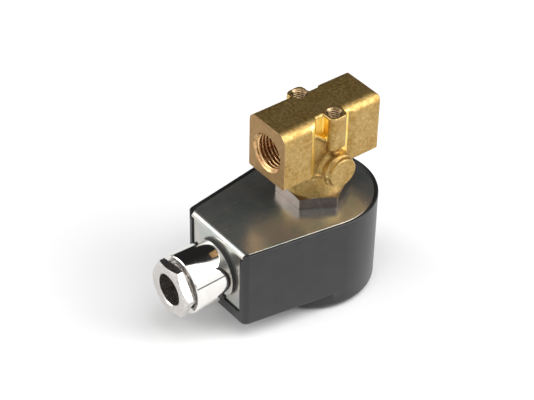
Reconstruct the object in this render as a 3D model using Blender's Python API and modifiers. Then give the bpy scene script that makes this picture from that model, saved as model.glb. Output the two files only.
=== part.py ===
"""Direct-acting two-way solenoid valve, standing on its coil with the brass body on top.

The frame: +Z up along the valve's axis, X along the flow, the cable gland at -X.
The origin is the centre of the brass body's flat top face, between its two fixing holes.
Everything is in metres; MM turns the millimetres of the drawings into metres.
"""

import math

import bmesh
import bpy

MM = 0.001
GAP = 0.3 * MM                      # air left between pieces that touch
EPS = 0.01 * MM                     # merge distance of the turned shapes
THROUGH = 1.0 * MM                  # how far a cutter runs past the face that it cuts

# Brass body
BODY_LENGTH = 40.0 * MM             # between the two port faces
BODY_HALF_WIDTH = 9.2 * MM
BLOCK_HEIGHT = 21.1 * MM
TOP_EDGE_ROUND = 3.4 * MM
LOW_EDGE_ROUND = 0.8 * MM
PORT_DEPTH_BELOW_TOP = 11.2 * MM    # height of the flow axis under the top face
PORT_MOUTH_RADIUS = 7.0 * MM
PORT_THREAD_RADIUS = 5.72 * MM      # minor radius of a G1/4 thread
PORT_CHAMFER_DEPTH = 1.3 * MM
PORT_DEPTH = 11.0 * MM
WAIST_HALF_WIDTH = 6.3 * MM
# In mm, X and Y along the recess on the near side; the far side is turned half a turn
WAIST_PLAN = ((-9.4, -9.3), (-7.6, -8.6), (-5.3, -6.3), (1.5, -6.3), (1.5, -7.6), (5.5, -7.6), (9.6, -9.3))
# In mm, X and Y around the near column, from its left root to its right root
COLUMN_PLAN = ((-2.2, -4.0), (-2.2, -9.8), (-1.8, -10.7), (-0.9, -11.0))
COLUMN_PLAN += ((3.6, -10.6), (4.5, -10.1), (4.8, -9.2), (4.8, -4.0))
COLUMN_FOOT = -12.6 * MM
FIXING_X = 1.2 * MM
FIXING_Y = -7.4 * MM
FIXING_RADIUS = 2.1 * MM            # minor radius of an M5 thread
FIXING_CHAMFER = 0.5 * MM
FIXING_DEPTH = 9.0 * MM
WEB_Y = -7.95 * MM
WEB_RIDGE = ((-10.6, -2.0), (2.3, -13.1), (10.2, -14.2))   # in mm, X and Z along the web's upper edge
BOSS_X = 1.6 * MM
BOSS_Z = -21.2 * MM
BOSS_RADIUS = 5.25 * MM
BOSS_ROOT_RADIUS = 5.9 * MM
BOSS_ROOT_Y = -11.2 * MM
BOSS_FACE_Y = -13.2 * MM
COLLAR_RADIUS = 11.0 * MM
COLLAR_TOP = -21.3 * MM
COLLAR_BOTTOM = -30.2 * MM

# Flow path inside the body
ORIFICE_RADIUS = 2.5 * MM
PILOT_RADIUS = 2.2 * MM             # drilling between each port and the seat
SEAT_RADIUS = 3.4 * MM
SEAT_LIP_Z = -22.8 * MM
CHAMBER_TOP = -21.8 * MM
CHAMBER_RADIUS = 7.9 * MM
THREAD_BORE_RADIUS = 9.0 * MM
THREAD_BORE_TOP = -24.8 * MM
INLET_DRILL_X = -6.2 * MM
INLET_DRILL_RADIUS = 1.5 * MM

# Guide tube group
HEX_ACROSS_FLATS = 22.0 * MM
HEX_TOP = -30.5 * MM
HEX_BOTTOM = -34.5 * MM
HEX_CHAMFER = 0.4 * MM
SPIGOT_RADIUS = 8.7 * MM
SPIGOT_TOP = -27.5 * MM
TUBE_RADIUS = 7.0 * MM
TUBE_WALL = 0.5 * MM
TUBE_BOTTOM = -62.0 * MM
TUBE_FLANGE_RADIUS = 8.6 * MM
TUBE_FLANGE_BOTTOM = -27.2 * MM
TUBE_FLANGE_TOP = -26.6 * MM
CORE_FACE = -49.0 * MM
CORE_FLANGE_BOTTOM = -64.0 * MM
STUD_RADIUS = 3.9 * MM
STUD_BOTTOM = -70.2 * MM
STUD_CHAMFER = 0.6 * MM
SHADING_INNER = 3.6 * MM
SHADING_OUTER = 4.6 * MM
SHADING_DEPTH = 1.5 * MM
PLUNGER_RADIUS = 6.2 * MM
PLUNGER_TOP = -23.6 * MM
PLUNGER_BOTTOM = -47.0 * MM
PLUNGER_BORE_RADIUS = 3.1 * MM
PLUNGER_BORE_TOP = -33.7 * MM
PLUNGER_GROOVE_HALF_WIDTH = 0.8 * MM
PLUNGER_GROOVE_DEPTH = 1.0 * MM
SEAL_RADIUS = 4.0 * MM
SEAL_TOP = -23.1 * MM
SEAL_BOTTOM = -25.6 * MM
SPRING_COIL_RADIUS = 2.3 * MM
SPRING_WIRE_RADIUS = 0.35 * MM
SPRING_TURNS = 7
SPRING_POINTS_PER_TURN = 10
BODY_O_RING = (8.0 * MM, 0.65 * MM, -25.7 * MM)     # ring radius, section radius, height
TUBE_O_RING = (8.5 * MM, 0.75 * MM, -35.6 * MM)

# Housing
HOUSING_RADIUS = 21.84 * MM
HOUSING_END_X = 40.4 * MM           # distance of the gland end from the valve's axis
HOUSING_CORNER = 2.5 * MM
SIDE_NORMAL_ANGLE = math.radians(99.2)   # direction of the flat side's normal, from +X
HOUSING_WALL = 1.2 * MM
RIM_Z = -34.8 * MM
BOX_BOTTOM = -64.45 * MM
BOX_EDGE_ROUND = 1.5 * MM
CAN_RADIUS = 21.5 * MM
CAN_BOTTOM = -70.8 * MM
CAN_EDGE_ROUND = 3.0 * MM
FLOOR_THICKNESS = 1.3 * MM
RECESS_RADIUS = 10.0 * MM
RECESS_TOP = -64.5 * MM
WINDOW_HALF_WIDTH = 13.0 * MM
WINDOW_BOTTOM = -59.5 * MM
PLATE_THICKNESS = 1.5 * MM
PLATE_BEND_RADIUS = 2.0 * MM
PLATE_FACE_X = 39.9 * MM
PLATE_TUBE_HOLE = 9.6 * MM

# Coil
COIL_TOP = -36.6 * MM
COIL_BOTTOM = -60.6 * MM
COIL_BORE = 7.3 * MM
BOBBIN_WALL = 1.0 * MM
BOBBIN_FLANGE_RADIUS = 18.5 * MM
BOBBIN_FLANGE = 1.2 * MM
WINDING_RADIUS = 17.4 * MM
TAPE_THICKNESS = 0.6 * MM
FLUX_WASHER_RADIUS = 19.0 * MM
FLUX_WASHER_THICKNESS = 2.0 * MM
COIL_WASHER_RADIUS = 8.6 * MM
COIL_WASHER_THICKNESS = 0.8 * MM
COIL_NUT_ACROSS_FLATS = 13.0 * MM
COIL_NUT_HEIGHT = 4.0 * MM
STUD_CLEARANCE = 0.3 * MM

# Terminals
BLOCK_X = (-34.0 * MM, -23.4 * MM)
BLOCK_HALF_WIDTH = 11.0 * MM
BLOCK_Z = (-62.8 * MM, -57.5 * MM)
POLE_PITCH = 7.0 * MM
POLES = ((-1, "a"), (0, "earth"), (1, "b"))
CLAMP_SIZE = (7.0 * MM, 5.0 * MM, 2.6 * MM)
CLAMP_BOTTOM = -61.5 * MM
CLAMP_SCREW_RADIUS = 1.3 * MM
CLAMP_HEAD_RADIUS = 2.1 * MM
CLAMP_HEAD_HEIGHT = 1.2 * MM
LEAD_RADIUS = 0.45 * MM
EARTH_X = -31.0 * MM
EARTH_Y = 9.5 * MM
EARTH_HEAD_RADIUS = 3.2 * MM
EARTH_HEAD_HEIGHT = 2.0 * MM

# Cable gland: distances along its own axis, counted from the valve's axis
GLAND_Z = -49.0 * MM
GLAND_INNER_END = 34.6 * MM
GLAND_SPIGOT_RADIUS = 7.7 * MM
GLAND_HOLE_RADIUS = 8.0 * MM
GASKET = (40.2 * MM, 40.8 * MM)
GASKET_RADIUS = 10.1 * MM
GLAND_SHOULDER = 41.1 * MM
GLAND_RADIUS = 10.35 * MM
GLAND_MOUTH = 54.8 * MM
GLAND_MOUTH_CHAMFER = 0.5 * MM
GLAND_BORE_RADIUS = 8.3 * MM
GLAND_SEAT = 43.2 * MM
GLAND_PASSAGE_RADIUS = 5.5 * MM
LOCKNUT_ACROSS_FLATS = 20.0 * MM
LOCKNUT = (35.1 * MM, 38.1 * MM)
GLAND_SEAL = (43.5 * MM, 48.1 * MM)
GLAND_SEAL_HOLE = 4.2 * MM
SLIP_WASHER = (49.4 * MM, 50.2 * MM)
SLIP_WASHER_HOLE = 4.8 * MM
SLIP_WASHER_RADIUS = 7.9 * MM
SCREW_SHANK_START = 50.5 * MM
SCREW_SHANK_RADIUS = 8.0 * MM
SCREW_HEX = (56.3 * MM, 59.3 * MM)
SCREW_ACROSS_FLATS = 17.6 * MM
SCREW_HEX_TURN = math.radians(36.0)
SCREW_HOLE_RADIUS = 5.6 * MM

# Facets
STEPS_LARGE = 56
STEPS_MEDIUM = 36
STEPS_SMALL = 24
STEPS_TINY = 12


def clear_scene():
    for old in list(bpy.data.objects):
        bpy.data.objects.remove(old, do_unlink=True)


def collection(name):
    group = bpy.data.collections.new(name)
    bpy.context.scene.collection.children.link(group)
    return group


def material(name, colour, roughness, metallic):
    """A Principled BSDF with one colour."""
    mat = bpy.data.materials.new(name)
    mat.use_nodes = True
    shader = mat.node_tree.nodes["Principled BSDF"]
    shader.inputs["Base Color"].default_value = (*colour, 1.0)
    shader.inputs["Roughness"].default_value = roughness
    shader.inputs["Metallic"].default_value = metallic
    return mat


def add(name, mesh, group, parent=None):
    """Put a mesh in the scene as a named object."""
    obj = bpy.data.objects.new(name, mesh)
    group.objects.link(obj)
    obj.parent = parent
    return obj


def smooth(obj, angle=35.0):
    obj.data.shade_smooth()
    obj.data.set_sharp_from_angle(angle=math.radians(angle))


def turned(name, profile, group, closed=False, steps=STEPS_MEDIUM, parent=None):
    """Turn a profile of (radius, height) points about local Z.

    The profile runs down its outer side from top to bottom, and a closed one comes back up inside.
    """
    bm = bmesh.new()
    points = [bm.verts.new((radius, 0.0, height)) for radius, height in profile]
    for start, end in zip(points, points[1:]):
        bm.edges.new((start, end))
    if closed:
        bm.edges.new((points[-1], points[0]))
    mesh = bpy.data.meshes.new(name)
    bm.to_mesh(mesh)
    bm.free()
    obj = add(name, mesh, group, parent)
    screw = obj.modifiers.new("turn", "SCREW")
    screw.steps = steps
    screw.render_steps = steps
    screw.use_merge_vertices = True
    screw.merge_threshold = EPS
    screw.use_smooth_shade = False
    return obj


def ring(name, inner, outer, low, high, group, steps=STEPS_MEDIUM, parent=None, chamfer=0.0):
    """A flat ring, with its outer edges broken by a chamfer if one is given."""
    if chamfer:
        profile = [(outer - chamfer, high), (outer, high - chamfer)]
        profile += [(outer, low + chamfer), (outer - chamfer, low)]
    else:
        profile = [(outer, high), (outer, low)]
    profile += [(inner, low), (inner, high)]
    return turned(name, profile, group, closed=True, steps=steps, parent=parent)


def arc(cx, cy, radius, start, end, steps):
    """Points of an arc, its ends included; angles in radians."""
    turn = (end - start) / steps
    return [
        (cx + radius * math.cos(start + turn * i), cy + radius * math.sin(start + turn * i))
        for i in range(steps + 1)
    ]


def prism(name, outline, low, high, group, parent=None):
    """A flat outline given thickness from low to high along local Z, as a mesh."""
    curve = bpy.data.curves.new(name, "CURVE")
    curve.dimensions = "2D"
    curve.fill_mode = "BOTH"
    curve.extrude = (high - low) / 2
    spline = curve.splines.new("POLY")
    spline.points.add(len(outline) - 1)
    for point, (x, y) in zip(spline.points, outline):
        point.co = (x, y, 0.0, 1.0)
    spline.use_cyclic_u = True
    return meshed(name, curve, group, (low + high) / 2, parent)


def meshed(name, curve, group, height=0.0, parent=None):
    """Turn a curve into a closed mesh object at a height along local Z."""
    wire = bpy.data.objects.new(name + "_curve", curve)
    bpy.context.scene.collection.objects.link(wire)
    wire.location = (0.0, 0.0, height)
    depsgraph = bpy.context.evaluated_depsgraph_get()
    mesh = bpy.data.meshes.new_from_object(wire.evaluated_get(depsgraph))
    mesh.name = name
    bm = bmesh.new()
    bm.from_mesh(mesh)
    bmesh.ops.remove_doubles(bm, verts=bm.verts, dist=EPS / 10)
    bmesh.ops.recalc_face_normals(bm, faces=bm.faces)
    bm.to_mesh(mesh)
    bm.free()
    obj = add(name, mesh, group, parent)
    obj.matrix_world = wire.matrix_world if parent is None else parent.matrix_world @ wire.matrix_world
    bpy.data.objects.remove(wire, do_unlink=True)
    return obj


def box(name, low, high, group, rounds=(), parent=None):
    """A box between two corners.

    rounds holds (test, width, segments) triples: test picks the edges, by their two ends, that are rounded.
    """
    bm = bmesh.new()
    bmesh.ops.create_cube(bm, size=1.0)
    for vert in bm.verts:
        vert.co = [low[i] + (high[i] - low[i]) * (vert.co[i] + 0.5) for i in range(3)]
    for test, width, segments in rounds:
        edges = [edge for edge in bm.edges if test(edge.verts[0].co, edge.verts[1].co)]
        bmesh.ops.bevel(
            bm, geom=edges, offset=width, segments=segments, profile=0.5, affect="EDGES", clamp_overlap=True
        )
    mesh = bpy.data.meshes.new(name)
    bm.to_mesh(mesh)
    bm.free()
    return add(name, mesh, group, parent)


def hexagon(name, across_flats, low, high, group, turn=0.0, parent=None):
    """A hexagonal prism about local Z; at turn 0 it has a corner on local +X."""
    bm = bmesh.new()
    bmesh.ops.create_cone(
        bm,
        cap_ends=True,
        segments=6,
        radius1=across_flats / math.sqrt(3),
        radius2=across_flats / math.sqrt(3),
        depth=high - low,
    )
    first = min(math.atan2(v.co.y, v.co.x) % (math.pi / 3) for v in bm.verts)
    for vert in bm.verts:
        angle = math.atan2(vert.co.y, vert.co.x) - first + turn
        radius = math.hypot(vert.co.x, vert.co.y)
        vert.co = (radius * math.cos(angle), radius * math.sin(angle), vert.co.z + (low + high) / 2)
    mesh = bpy.data.meshes.new(name)
    bm.to_mesh(mesh)
    bm.free()
    return add(name, mesh, group, parent)


def torus(name, ring_radius, section_radius, height, group, parent=None):
    section = arc(ring_radius, height, section_radius, 0.0, -2 * math.pi, 8)[:-1]
    return turned(name, section, group, closed=True, steps=STEPS_SMALL, parent=parent)


def boolean(obj, other, operation, solver="EXACT"):
    step = obj.modifiers.new(other.name, "BOOLEAN")
    step.operation = operation
    step.object = other
    step.solver = solver
    other.hide_render = True
    other.display_type = "WIRE"


def cut(obj, *others):
    for other in others:
        boolean(obj, other, "DIFFERENCE")


def drill(obj, *others):
    """Cut holes that run into each other, where the exact solver leaves open edges."""
    for other in others:
        boolean(obj, other, "DIFFERENCE", "MANIFOLD")


def join(obj, *others):
    for other in others:
        boolean(obj, other, "UNION")


def keep_inside(obj, other):
    boolean(obj, other, "INTERSECT")


def finish(obj, mat):
    obj.data.materials.clear()
    obj.data.materials.append(mat)
    smooth(obj)
    return obj


def empty(name, location, rotation, group):
    """A joint's axis, which carries the pieces that lie along it."""
    axis = bpy.data.objects.new(name, None)
    group.objects.link(axis)
    axis.location = location
    axis.rotation_euler = rotation
    bpy.context.view_layer.update()
    return axis


def chamfered_hexagon(name, across_flats, low, high, chamfer, parts, cutters, turn=0.0, parent=None):
    """A hexagon whose corners are turned off at both ends, as on a nut."""
    obj = hexagon(name, across_flats, low, high, parts, turn, parent)
    corner = across_flats / math.sqrt(3)
    inner = across_flats / 2 - 0.05 * MM
    outer = corner + THROUGH
    slope = chamfer / (corner - inner)
    drop = (outer - inner) * slope
    envelope = turned(
        name + "_envelope",
        [(0, high), (inner, high), (outer, high - drop), (outer, low + drop), (inner, low), (0, low)],
        cutters,
        parent=parent,
    )
    keep_inside(obj, envelope)
    return obj


# Brass body ---------------------------------------------------------------------------------------


def port_cutter(name, side, pilot_end, cutters):
    """The threaded port with its chamfered mouth, and the narrower pilot drilling behind it."""
    face = BODY_LENGTH / 2
    bottom = face - PORT_DEPTH
    slope = (PORT_MOUTH_RADIUS - PORT_THREAD_RADIUS) / PORT_CHAMFER_DEPTH
    axis = empty(name + "_axis", (0, 0, -PORT_DEPTH_BELOW_TOP), (0, side * math.pi / 2, 0), cutters)
    return turned(
        name,
        [
            (0, face + THROUGH),
            (PORT_MOUTH_RADIUS + THROUGH * slope, face + THROUGH),
            (PORT_THREAD_RADIUS, face - PORT_CHAMFER_DEPTH),
            (PORT_THREAD_RADIUS, bottom),
            (PILOT_RADIUS, bottom - 1.0 * MM),
            (PILOT_RADIUS, pilot_end),
            (0, pilot_end),
        ],
        cutters,
        parent=axis,
    )


def rod(name, radius, low, high, cutters, steps=STEPS_SMALL, parent=None, x=0.0, y=0.0):
    profile = [(0, high), (radius, high), (radius, low), (0, low)]
    obj = turned(name, profile, cutters, steps=steps, parent=parent)
    obj.location = (x, y, 0)
    return obj


def waist_cutter(name, cutters):
    """The recess beside the column, deep towards the inlet and shallow towards the outlet."""
    outline = [(x * MM, y * MM) for x, y in WAIST_PLAN]
    outline += [(outline[-1][0], -2 * BODY_HALF_WIDTH), (outline[0][0], -2 * BODY_HALF_WIDTH)]
    return prism(name, outline, -BLOCK_HEIGHT - THROUGH, THROUGH, cutters)


def column(name, cutters):
    """The squarish column around a fixing hole."""
    outline = [(x * MM, y * MM) for x, y in COLUMN_PLAN]
    return prism(name, outline, COLUMN_FOOT, 0, cutters)


def web(name, cutters):
    """The wall under the recess, whose upper edge slopes down from the inlet block to past the column."""
    outline = [(x * MM, z * MM) for x, z in WEB_RIDGE]
    foot = -BLOCK_HEIGHT - 0.5 * MM
    outline += [(outline[-1][0], foot), (outline[0][0], foot)]
    axis = empty(name + "_axis", (0, 0, 0), (math.pi / 2, 0, 0), cutters)
    return prism(name, outline, WAIST_HALF_WIDTH - 2 * MM, -WEB_Y, cutters, parent=axis)


def build_valve_body(parts, cutters, mat):
    half = BODY_LENGTH / 2
    width = BODY_HALF_WIDTH
    tiny = 0.01 * MM

    def top_long(a, b):
        return abs(a.z) < tiny and abs(b.z) < tiny and abs(a.y - b.y) < tiny and abs(a.x - b.x) > half

    def low_long(a, b):
        return abs(a.z + BLOCK_HEIGHT) < tiny and abs(b.z + BLOCK_HEIGHT) < tiny and abs(a.x - b.x) > half

    body = box(
        "valve_body",
        (-half, -width, -BLOCK_HEIGHT),
        (half, width, 0),
        parts,
        [(top_long, TOP_EDGE_ROUND, 5), (low_long, LOW_EDGE_ROUND, 2)],
    )
    near_waist = waist_cutter("near_waist_cut", cutters)
    far_waist = waist_cutter("far_waist_cut", cutters)
    far_waist.rotation_euler = (0, 0, math.pi)
    cut(body, near_waist, far_waist)

    near_column = column("near_column", cutters)
    far_column = column("far_column", cutters)
    far_column.rotation_euler = (0, 0, math.pi)
    near_web = web("near_web", cutters)
    far_web = web("far_web", cutters)
    far_web.parent.rotation_euler = (math.pi / 2, 0, math.pi)
    collar = turned(
        "collar",
        [
            (0, -BLOCK_HEIGHT + 6 * MM),
            (WAIST_HALF_WIDTH, -BLOCK_HEIGHT + 6 * MM),
            (WAIST_HALF_WIDTH, COLLAR_TOP),
            (COLLAR_RADIUS - 1.0 * MM, COLLAR_TOP),
            (COLLAR_RADIUS - 0.3 * MM, COLLAR_TOP - 0.3 * MM),
            (COLLAR_RADIUS, COLLAR_TOP - 1.0 * MM),
            (COLLAR_RADIUS, COLLAR_BOTTOM + 0.4 * MM),
            (COLLAR_RADIUS - 0.4 * MM, COLLAR_BOTTOM),
            (0, COLLAR_BOTTOM),
        ],
        cutters,
        steps=STEPS_LARGE,
    )
    boss_axis = empty("boss_axis", (BOSS_X, 0, BOSS_Z), (math.pi / 2, 0, 0), cutters)
    boss = turned(
        "boss",
        [
            (0, -BOSS_FACE_Y),
            (BOSS_RADIUS - 0.5 * MM, -BOSS_FACE_Y),
            (BOSS_RADIUS, -BOSS_FACE_Y - 0.5 * MM),
            (BOSS_RADIUS, -BOSS_ROOT_Y),
            (BOSS_ROOT_RADIUS, -BOSS_ROOT_Y),
            (BOSS_ROOT_RADIUS, WAIST_HALF_WIDTH - 2 * MM),
            (0, WAIST_HALF_WIDTH - 2 * MM),
        ],
        cutters,
        steps=STEPS_MEDIUM,
        parent=boss_axis,
    )
    join(body, collar, near_web, far_web, near_column, far_column, boss)

    chamber = turned(
        "chamber_cut",
        [
            (0, -PORT_DEPTH_BELOW_TOP + PILOT_RADIUS),
            (ORIFICE_RADIUS, -PORT_DEPTH_BELOW_TOP + PILOT_RADIUS),
            (ORIFICE_RADIUS, SEAT_LIP_Z),
            (SEAT_RADIUS, SEAT_LIP_Z),
            (SEAT_RADIUS + 0.3 * MM, CHAMBER_TOP),
            (CHAMBER_RADIUS, CHAMBER_TOP),
            (CHAMBER_RADIUS, THREAD_BORE_TOP),
            (THREAD_BORE_RADIUS, THREAD_BORE_TOP),
            (THREAD_BORE_RADIUS, COLLAR_BOTTOM - THROUGH),
            (0, COLLAR_BOTTOM - THROUGH),
        ],
        cutters,
        steps=STEPS_MEDIUM,
    )
    inlet_drill = rod(
        "inlet_drill_cut",
        INLET_DRILL_RADIUS,
        CHAMBER_TOP - THROUGH,
        -PORT_DEPTH_BELOW_TOP,
        cutters,
        steps=STEPS_TINY,
        x=INLET_DRILL_X,
    )
    drill(
        body,
        chamber,
        port_cutter("outlet_port_cut", 1, 0.4 * MM, cutters),
        port_cutter("inlet_port_cut", -1, -INLET_DRILL_X - 1.2 * MM, cutters),
        inlet_drill,
    )
    for side in (1, -1):
        hole = turned(
            "fixing_hole_cut_near" if side == 1 else "fixing_hole_cut_far",
            [
                (0, THROUGH),
                (FIXING_RADIUS + FIXING_CHAMFER + THROUGH, THROUGH),
                (FIXING_RADIUS, -FIXING_CHAMFER),
                (FIXING_RADIUS, -FIXING_DEPTH),
                (0, -FIXING_DEPTH - 1.0 * MM),
            ],
            cutters,
            steps=STEPS_SMALL,
        )
        hole.location = (side * FIXING_X, side * FIXING_Y, 0)
        drill(body, hole)
    return finish(body, mat)


# Guide tube group ---------------------------------------------------------------------------------


def build_tube_group(parts, cutters, steel, stainless, copper, rubber):
    flange = chamfered_hexagon(
        "tube_hex_flange", HEX_ACROSS_FLATS, HEX_BOTTOM, HEX_TOP, HEX_CHAMFER, parts, cutters, turn=math.pi / 6
    )
    spigot = rod("spigot", SPIGOT_RADIUS, HEX_BOTTOM + THROUGH, SPIGOT_TOP, cutters, steps=STEPS_MEDIUM)
    tube_way = rod(
        "tube_way_cut", TUBE_RADIUS + GAP, HEX_BOTTOM - THROUGH, SPIGOT_TOP + THROUGH, cutters, steps=STEPS_MEDIUM
    )
    join(flange, spigot)
    cut(flange, tube_way)
    finish(flange, steel)

    inner = TUBE_RADIUS - TUBE_WALL
    tube = turned(
        "guide_tube",
        [
            (TUBE_FLANGE_RADIUS, TUBE_FLANGE_TOP),
            (TUBE_FLANGE_RADIUS, TUBE_FLANGE_BOTTOM),
            (TUBE_RADIUS, TUBE_FLANGE_BOTTOM),
            (TUBE_RADIUS, TUBE_BOTTOM),
            (inner, TUBE_BOTTOM),
            (inner, TUBE_FLANGE_TOP),
        ],
        parts,
        closed=True,
    )
    finish(tube, stainless)

    groove_inner = SHADING_INNER - GAP
    groove_outer = SHADING_OUTER + GAP
    groove_floor = CORE_FACE - SHADING_DEPTH - 2 * GAP
    core_radius = inner - GAP
    core = turned(
        "fixed_core",
        [
            (0, CORE_FACE),
            (groove_inner, CORE_FACE),
            (groove_inner, groove_floor),
            (groove_outer, groove_floor),
            (groove_outer, CORE_FACE),
            (core_radius, CORE_FACE),
            (core_radius, TUBE_BOTTOM - GAP),
            (TUBE_RADIUS, TUBE_BOTTOM - GAP),
            (TUBE_RADIUS, CORE_FLANGE_BOTTOM),
            (STUD_RADIUS, CORE_FLANGE_BOTTOM),
            (STUD_RADIUS, STUD_BOTTOM + STUD_CHAMFER),
            (STUD_RADIUS - STUD_CHAMFER, STUD_BOTTOM),
            (0, STUD_BOTTOM),
        ],
        parts,
    )
    finish(core, stainless)
    shading = ring(
        "shading_ring", SHADING_INNER, SHADING_OUTER, CORE_FACE - GAP - SHADING_DEPTH, CORE_FACE - GAP, parts
    )
    finish(shading, copper)
    finish(torus("body_o_ring", *BODY_O_RING, parts), rubber)
    finish(torus("tube_o_ring", *TUBE_O_RING, parts), rubber)


def build_plunger_group(parts, cutters, stainless, rubber, spring_steel):
    seal_pocket = SEAL_RADIUS + GAP
    plunger = turned(
        "plunger",
        [
            (seal_pocket, PLUNGER_TOP),
            (PLUNGER_RADIUS - 0.4 * MM, PLUNGER_TOP),
            (PLUNGER_RADIUS, PLUNGER_TOP - 0.4 * MM),
            (PLUNGER_RADIUS, PLUNGER_BOTTOM + 0.4 * MM),
            (PLUNGER_RADIUS - 0.4 * MM, PLUNGER_BOTTOM),
            (PLUNGER_BORE_RADIUS, PLUNGER_BOTTOM),
            (PLUNGER_BORE_RADIUS, PLUNGER_BORE_TOP),
            (0, PLUNGER_BORE_TOP),
            (0, SEAL_BOTTOM - GAP),
            (seal_pocket, SEAL_BOTTOM - GAP),
        ],
        parts,
        closed=True,
    )
    near = PLUNGER_RADIUS - PLUNGER_GROOVE_DEPTH
    far = PLUNGER_RADIUS + THROUGH
    half = PLUNGER_GROOVE_HALF_WIDTH
    for label, low, high in (("a", near, far), ("b", -far, -near)):
        groove = box(
            "plunger_groove_" + label + "_cut",
            (low, -half, PLUNGER_BOTTOM - THROUGH),
            (high, half, PLUNGER_TOP + THROUGH),
            cutters,
        )
        cut(plunger, groove)
    finish(plunger, stainless)
    seal = turned(
        "plunger_seal",
        [(0, SEAL_TOP), (SEAL_RADIUS, SEAL_TOP), (SEAL_RADIUS, SEAL_BOTTOM), (0, SEAL_BOTTOM)],
        parts,
        steps=STEPS_SMALL,
    )
    finish(seal, rubber)
    build_spring(parts, spring_steel)


def build_spring(parts, mat):
    """The return spring, from the fixed core's face up into the plunger's bore, with flattened end turns."""
    low = CORE_FACE + GAP + SPRING_WIRE_RADIUS
    high = PLUNGER_BORE_TOP - GAP - SPRING_WIRE_RADIUS
    count = SPRING_TURNS * SPRING_POINTS_PER_TURN
    closed_share = 1.0 / SPRING_TURNS
    rise_end = 2.5 * SPRING_WIRE_RADIUS / (high - low)
    curve = bpy.data.curves.new("plunger_spring", "CURVE")
    curve.dimensions = "3D"
    curve.bevel_depth = SPRING_WIRE_RADIUS
    curve.bevel_resolution = 1
    curve.use_fill_caps = True
    spline = curve.splines.new("POLY")
    spline.points.add(count)
    for i, point in enumerate(spline.points):
        share = i / count
        angle = 2 * math.pi * SPRING_TURNS * share
        if share < closed_share:
            rise = rise_end * share / closed_share
        elif share > 1 - closed_share:
            rise = 1 - rise_end * (1 - share) / closed_share
        else:
            rise = rise_end + (1 - 2 * rise_end) * (share - closed_share) / (1 - 2 * closed_share)
        point.co = (
            SPRING_COIL_RADIUS * math.cos(angle),
            SPRING_COIL_RADIUS * math.sin(angle),
            low + (high - low) * rise,
            1.0,
        )
    finish(meshed("plunger_spring", curve, parts), mat)


# Housing ------------------------------------------------------------------------------------------


def housing_outline(inset):
    """The cup's plan, moved inwards by inset: a round end, two flat sides and a flat gland end."""
    radius = HOUSING_RADIUS - inset
    angle = SIDE_NORMAL_ANGLE
    corner_x = -(HOUSING_END_X - HOUSING_CORNER)
    corner_y = (HOUSING_RADIUS - HOUSING_CORNER - math.cos(angle) * corner_x) / math.sin(angle)
    corner = HOUSING_CORNER - inset
    outline = arc(0, 0, radius, -angle, angle, 32)
    outline += arc(corner_x, corner_y, corner, angle, math.pi, 4)
    outline += arc(corner_x, -corner_y, corner, -math.pi, -angle, 4)
    return outline


def build_housing_cup(parts, cutters, mat):
    cup = prism("housing_cup", housing_outline(0.0), BOX_BOTTOM, RIM_Z, parts)
    bm = bmesh.new()
    bm.from_mesh(cup.data)
    bm.transform(cup.matrix_world)
    low_edges = [
        edge
        for edge in bm.edges
        if len(edge.link_faces) == 2
        and all(abs(v.co.z - BOX_BOTTOM) < EPS for v in edge.verts)
        and abs(edge.link_faces[0].normal.z) + abs(edge.link_faces[1].normal.z) < 1.5
    ]
    bmesh.ops.bevel(
        bm, geom=low_edges, offset=BOX_EDGE_ROUND, segments=3, profile=0.5, affect="EDGES", clamp_overlap=True
    )
    bm.to_mesh(cup.data)
    bm.free()
    cup.location = (0, 0, 0)

    can_wall = [
        (CAN_RADIUS - CAN_EDGE_ROUND + x, CAN_BOTTOM + CAN_EDGE_ROUND + z)
        for x, z in arc(0, 0, CAN_EDGE_ROUND, 0.0, -math.pi / 2, 5)
    ]
    can = turned(
        "can",
        [(0, BOX_BOTTOM + 3 * MM), (CAN_RADIUS, BOX_BOTTOM + 3 * MM)] + can_wall + [(0, CAN_BOTTOM)],
        cutters,
        steps=STEPS_LARGE,
    )
    join(cup, can)
    floor = BOX_BOTTOM + FLOOR_THICKNESS
    cavity = prism("cup_cavity_cut", housing_outline(HOUSING_WALL), floor, RIM_Z + THROUGH, cutters)
    low_cavity = ring(
        "can_cavity_cut",
        RECESS_RADIUS + HOUSING_WALL,
        CAN_RADIUS - HOUSING_WALL,
        CAN_BOTTOM + FLOOR_THICKNESS,
        floor + THROUGH,
        cutters,
        steps=STEPS_LARGE,
        chamfer=1.6 * MM,
    )
    recess = rod(
        "recess_cut", RECESS_RADIUS, CAN_BOTTOM - THROUGH, RECESS_TOP, cutters, steps=STEPS_MEDIUM
    )
    floor_hole = rod(
        "floor_hole_cut", TUBE_RADIUS + GAP, RECESS_TOP - THROUGH, floor + THROUGH, cutters, steps=STEPS_MEDIUM
    )
    window = box(
        "window_cut",
        (-HOUSING_END_X - THROUGH, -WINDOW_HALF_WIDTH, WINDOW_BOTTOM),
        (-HOUSING_END_X + HOUSING_WALL + THROUGH, WINDOW_HALF_WIDTH, RIM_Z + THROUGH),
        cutters,
    )
    cut(cup, cavity, low_cavity, recess, floor_hole, window)
    return finish(cup, mat)


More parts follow.
